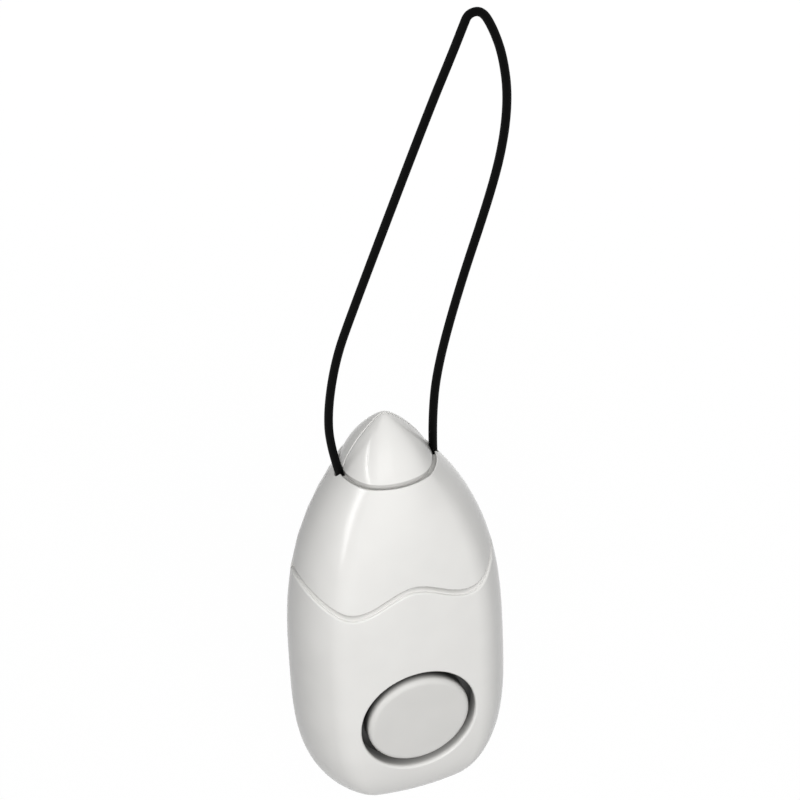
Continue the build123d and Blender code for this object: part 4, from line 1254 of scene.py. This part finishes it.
def screw_tree():
    """Cross-slotted round-head screws on points, each with a thread wound along its shank."""
    tree, given = start_tree("cross_slot_screws", (*CASE_SCREW_SIZES, "Turns"))
    part = {
        key: add_node(tree, "ShaderNodeMath", {0: given[size], 1: share}, operation="MULTIPLY").outputs[0]
        for key, size, share in (
            ("broad", "Head radius", 3.0), ("reach", "Head radius", 1.35), ("tall", "Head height", 2.0),
            ("under", "Head height", -1.0), ("halfway", "Length", -0.5), ("tip", "Length", -0.98),
            ("threaded", "Length", 0.9), ("ridge", "Shank radius", 0.14),
        )
    }
    ball = add_node(tree, "GeometryNodeMeshUVSphere", {"Segments": 48, "Rings": 25, "Radius": 1.0})
    oval = add_node(tree, "ShaderNodeCombineXYZ", {
        "X": given["Head radius"], "Y": given["Head radius"], "Z": given["Head height"],
    })
    head = add_node(tree, "GeometryNodeTransform", {
        "Geometry": ball.outputs["Mesh"], "Scale": oval.outputs["Vector"],
    }).outputs["Geometry"]
    slot = given["Slot width"]
    slotted = add_node(tree, "ShaderNodeMath", {
        0: part["tall"], 1: given["Slot depth"],
    }, operation="SUBTRACT").outputs["Value"]
    # The first block takes off the ball's lower half, and the others cut the slots
    for width, depth, height in (
        (part["broad"], part["broad"], part["under"]), (part["reach"], slot, slotted),
        (slot, part["reach"], slotted),
    ):
        size = add_node(tree, "ShaderNodeCombineXYZ", {"X": width, "Y": depth, "Z": part["tall"]})
        cube = add_node(tree, "GeometryNodeMeshCube", {"Size": size.outputs["Vector"]})
        head = add_node(tree, "GeometryNodeMeshBoolean", {
            "Mesh 1": head, "Mesh 2": raised(tree, cube.outputs["Mesh"], height),
        }, operation="DIFFERENCE", solver="EXACT").outputs["Mesh"]

    shank = add_node(tree, "GeometryNodeMeshCylinder", {
        "Vertices": 32, "Radius": given["Shank radius"], "Depth": given["Length"],
    })
    thread = add_node(tree, "GeometryNodeCurveSpiral", {
        "Resolution": 32, "Rotations": given["Turns"], "Start Radius": given["Shank radius"],
        "End Radius": given["Shank radius"], "Height": part["threaded"],
    })
    ridge = add_node(tree, "GeometryNodeCurvePrimitiveCircle", {
        "Resolution": 4, "Radius": part["ridge"],
    })
    wound = add_node(tree, "GeometryNodeCurveToMesh", {
        "Curve": thread.outputs["Curve"], "Profile Curve": ridge.outputs["Curve"], "Fill Caps": True,
    })
    return finish_tree(tree, given, (
        head, raised(tree, shank.outputs["Mesh"], part["halfway"]),
        raised(tree, wound.outputs["Mesh"], part["tip"]),
    ))


def coil_tree():
    """Round wire wound on points in close turns, on a sleeve where it is wound on a core."""
    tree, given = start_tree(
        "wound_wire", ("Radius", "Wire", "Turns", "Height"), Sleeved="NodeSocketBool"
    )
    half_wire, half_height = (
        add_node(tree, "ShaderNodeMath", {0: given[size], 1: 0.5}, operation="MULTIPLY").outputs[0]
        for size in ("Wire", "Height")
    )
    middle, rise = (
        add_node(tree, "ShaderNodeMath", {0: whole, 1: less}, operation="SUBTRACT").outputs[0]
        for whole, less in ((given["Radius"], half_wire), (given["Height"], given["Wire"]))
    )
    helix = add_node(tree, "GeometryNodeCurveSpiral", {
        "Resolution": 36, "Rotations": given["Turns"], "Start Radius": middle, "End Radius": middle,
        "Height": rise,
    })
    round_wire = add_node(tree, "GeometryNodeCurvePrimitiveCircle", {
        "Resolution": 10, "Radius": half_wire,
    })
    wire = add_node(tree, "GeometryNodeCurveToMesh", {
        "Curve": helix.outputs["Curve"], "Profile Curve": round_wire.outputs["Curve"], "Fill Caps": True,
    })
    sleeve = add_node(tree, "GeometryNodeMeshCylinder", {
        "Vertices": 48, "Radius": middle, "Depth": given["Height"],
    })
    chosen = add_node(tree, "GeometryNodeSwitch", {
        "Switch": given["Sleeved"], "True": raised(tree, sleeve.outputs["Mesh"], half_height),
    }, input_type="GEOMETRY")
    return finish_tree(tree, given, (
        raised(tree, wire.outputs["Mesh"], half_wire), chosen.outputs["Output"],
    ))


# Turns that lay what grows upwards along the case's depth
BACKWARD = (radians(-90), 0.0, 0.0)
FORWARD = (radians(90), 0.0, 0.0)


class DOOR_ALARM_OT_screws(AlarmOperator):
    """Makes the case screws and the board screws"""

    bl_idname = "door_alarm.screws"
    bl_label = "Screws"

    def execute(self, context):
        inside = settings().inside
        steel = carried_finish("zinc_plated_steel")
        tree = screw_tree()
        for name, node, seat, turn, places, sizes in (
            ("back_screws", "case_screws", inside.case_screw_seat, BACKWARD, CASE_SCREWS,
             CASE_SCREW_SIZES),
            ("small_screws", "board_screws", inside.board_front, FORWARD, BOARD_SCREWS,
             BOARD_SCREW_SIZES),
        ):
            points = placed([(x * MM, seat, h * MM) for x, h in places], settings().case)
            values = {key: size * MM for key, size in sizes.items()}
            values |= {"Turns": sizes["Length"] / SCREW_PITCH, "Turn": turn, "Material": steel}
            mesh = grown_mesh(name, points, tree, values)
            add_piece(name, mesh, steel, "case", node)
        return {"FINISHED"}


class DOOR_ALARM_OT_wire(AlarmOperator):
    """Winds the siren's step-up coil and the vibration sensor's spring"""

    bl_idname = "door_alarm.wire"
    bl_label = "Coil and spring"

    def execute(self, context):
        case, inside = settings().case, settings().inside
        tree = coil_tree()
        copper, steel = carried_finish("enamelled_copper"), carried_finish("sprung_steel_wire")
        winding = grown_mesh("winding", placed([COIL_FOOT], case), tree, {
            "Radius": inside.winding_radius, "Wire": inside.winding_wire, "Height": inside.winding_height,
            "Turns": inside.winding_height / inside.winding_wire - 1, "Sleeved": True, "Turn": FORWARD,
            "Material": copper,
        })
        add_piece("winding", winding, copper, "case", "coil_winding")
        spring = grown_mesh("whisker", placed([SPRING_FOOT], case), tree, {
            "Radius": inside.spring_radius, "Wire": inside.spring_wire, "Height": inside.spring_height,
            "Turns": inside.spring_height / inside.spring_pitch, "Sleeved": False,
            "Turn": (0.0, 0.0, 0.0), "Material": steel,
        })
        add_piece("whisker", spring, steel, "sensor_spring", "sensor_spring")
        return {"FINISHED"}


class DOOR_ALARM_OT_insides(AlarmOperator):
    """Gives the carried-over pieces their materials"""

    bl_idname = "door_alarm.insides"
    bl_label = "Board, batteries and siren"

    def execute(self, context):
        dressed = {
            "solder_mask_green": ["circuit_board"],
            "black_filled_nylon": ["switch_body", "control_chip", "transistor", "siren_cap"],
            "white_acetal": ["switch_plunger"],
            "nickel_plated_sheet": ["sensor_can", "contact_plates", "contact_springs"],
            "drawn_steel_pin": ["sensor_pin"],
            "sintered_ferrite": ["coil_core"],
            "shrunk_vinyl_sleeve": ["capacitor"],
            "rolled_brass": ["cord_crimps", "piezo_disc"],
            "silvered_ceramic": ["piezo_ceramic"],
            "wrapped_cell_jacket": ["battery_cell_left", "battery_cell_right"],
        }
        for finish, names in dressed.items():
            material = carried_finish(finish)
            for name in names:
                dress(name, material)
        return {"FINISHED"}


# The lamps, from the case's middle: place, size, roll and the setting that holds the power. The strip
# leans along the line that shows as the streak from the nose down the left crease.
LAMPS = {
    "key_box": ((-0.25, -0.95, 0.50), (0.70, 0.70), 0.0, "key_power"),
    "left_strip": ((-0.92, -0.28, 0.31), (0.10, 1.00), radians(47.5), "fill_power"),
    "back_box": ((0.42, 0.95, 0.36), (0.70, 0.70), 0.0, "back_power"),
}
LIT_HEIGHT = 55 * MM

# The camera's right and up and its place in millimetres, as fitted to the outline
CAMERA_RIGHT = Vector((0.94137, -0.33510, -0.03911))
CAMERA_UP = Vector((0.22443, 0.53547, 0.81419))
CAMERA_PLACE = Vector((-241.12, -674.83, 405.67))
CAMERA_SENSOR, CAMERA_NEAR = 36.0, 0.01

# Half the floor's side in metres, how brightly it glows for the camera, and how much of its own shading
# and of the alarm's shadow is kept off it there
FLOOR_HALF, FLOOR_GLOW, FLOOR_DIM = 4.0, 0.97, 0.7


class DOOR_ALARM_OT_stage(AlarmOperator):
    """Makes the floor, the lamps, the surroundings and the camera"""

    bl_idname = "door_alarm.stage"
    bl_label = "Stage"

    def execute(self, context):
        scene = context.scene
        case, stage, colours = settings().case, settings().stage, settings().colours
        scene.view_settings.view_transform = "Standard"

        mesh = bpy.data.meshes.new("floor")
        floor_z = case.foot_z - stage.floor_drop
        corners = [
            (FLOOR_HALF * x, FLOOR_HALF * y, floor_z) for x, y in ((-1, -1), (1, -1), (1, 1), (-1, 1))
        ]
        mesh.from_pydata(corners, [], [(0, 1, 2, 3)])
        new_piece("floor", mesh)
        # White card: the camera and reflections see it nearly white, with the object's soft shadow
        paper, tree, shader = start_material("white_paper_sweep", colours.floor, roughness=0.9)
        shader.inputs["Specular IOR Level"].default_value = 0.1
        white = linear(colours.backdrop)
        glow = add_node(tree, "ShaderNodeEmission", {"Color": white, "Strength": FLOOR_GLOW})
        dim = add_node(tree, "ShaderNodeMixShader", {0: FLOOR_DIM, 1: shader.outputs["BSDF"]})
        seen = add_node(tree, "ShaderNodeAddShader", {
            0: glow.outputs["Emission"], 1: dim.outputs["Shader"],
        })
        pick = add_node(tree, "ShaderNodeMixShader", {
            0: seen_directly(tree), 1: shader.outputs["BSDF"], 2: seen.outputs["Shader"],
        })
        output = next(n for n in tree.nodes if n.type == "OUTPUT_MATERIAL")
        tree.links.new(pick.outputs["Shader"], output.inputs["Surface"])
        mesh.materials.append(paper)

        world = scene.world = bpy.data.worlds.new("white_surroundings")
        world.use_nodes = True
        tree = world.node_tree
        tree.nodes.clear()
        sky, card = (
            add_node(tree, "ShaderNodeBackground", {"Color": white, "Strength": strength})
            for strength in (stage.world_strength, 1.0)
        )
        pick = add_node(tree, "ShaderNodeMixShader", {
            0: seen_directly(tree), 1: sky.outputs["Background"], 2: card.outputs["Background"],
        })
        add_node(tree, "ShaderNodeOutputWorld", {"Surface": pick.outputs["Shader"]})

        centre = Vector((case.axis_x, 0.0, case.foot_z + LIT_HEIGHT))
        for name, (place, size, roll, power) in LAMPS.items():
            lamp = bpy.data.lights.new(name, "AREA")
            lamp.shape = "RECTANGLE"
            lamp.size, lamp.size_y = size
            lamp.energy = getattr(stage, power)
            lit = new_piece(name, lamp)
            # The strip shows in the gloss alone, as the streak down the left crease; the boxes only light
            lit.visible_glossy = name == "left_strip"
            lit.visible_diffuse = not lit.visible_glossy
            lit.location = centre + Vector(place)
            aim = (-Vector(place)).to_track_quat("-Z", "Y") @ Quaternion((0, 0, 1), roll)
            lit.rotation_euler = aim.to_euler()

        camera = scene.camera = new_piece("camera", bpy.data.cameras.new("camera"))
        camera.data.sensor_width = CAMERA_SENSOR
        camera.data.lens = stage.lens
        camera.data.clip_start = CAMERA_NEAR
        turn = Matrix((CAMERA_RIGHT, CAMERA_UP, CAMERA_RIGHT.cross(CAMERA_UP)))
        camera.matrix_world = Matrix.Translation(CAMERA_PLACE * MM) @ turn.transposed().to_4x4()
        return {"FINISHED"}


STEPS = (
    DOOR_ALARM_OT_stage, DOOR_ALARM_OT_cord, DOOR_ALARM_OT_front_upper_cover,
    DOOR_ALARM_OT_front_lower_cover, DOOR_ALARM_OT_rear_cover, DOOR_ALARM_OT_nose,
    DOOR_ALARM_OT_button, DOOR_ALARM_OT_screws, DOOR_ALARM_OT_wire, DOOR_ALARM_OT_insides,
)


class DOOR_ALARM_PT_pieces(bpy.types.Panel):
    """Lists the alarm's pieces in the sidebar"""

    bl_idname = "DOOR_ALARM_PT_pieces"
    bl_label = "Door alarm"
    bl_space_type = "VIEW_3D"
    bl_region_type = "UI"
    bl_category = "Alarm"

    def draw(self, context):
        for step in STEPS:
            self.layout.operator(step.bl_idname)


CLASSES = (
    CaseSizes, NoseSizes, ButtonSizes, CordSizes, InsideSizes, PlasticColours, StageSettings,
    AlarmSettings, *STEPS, DOOR_ALARM_PT_pieces,
)


def register():
    for item in CLASSES:
        bpy.utils.register_class(item)
    bpy.types.Scene.door_alarm = bpy.props.PointerProperty(type=AlarmSettings)


def unregister():
    del bpy.types.Scene.door_alarm
    for item in reversed(CLASSES):
        bpy.utils.unregister_class(item)


def main():
    register()
    for step in STEPS:
        getattr(bpy.ops.door_alarm, step.bl_idname.split(".")[1])()


if __name__ == "__main__":
    main()
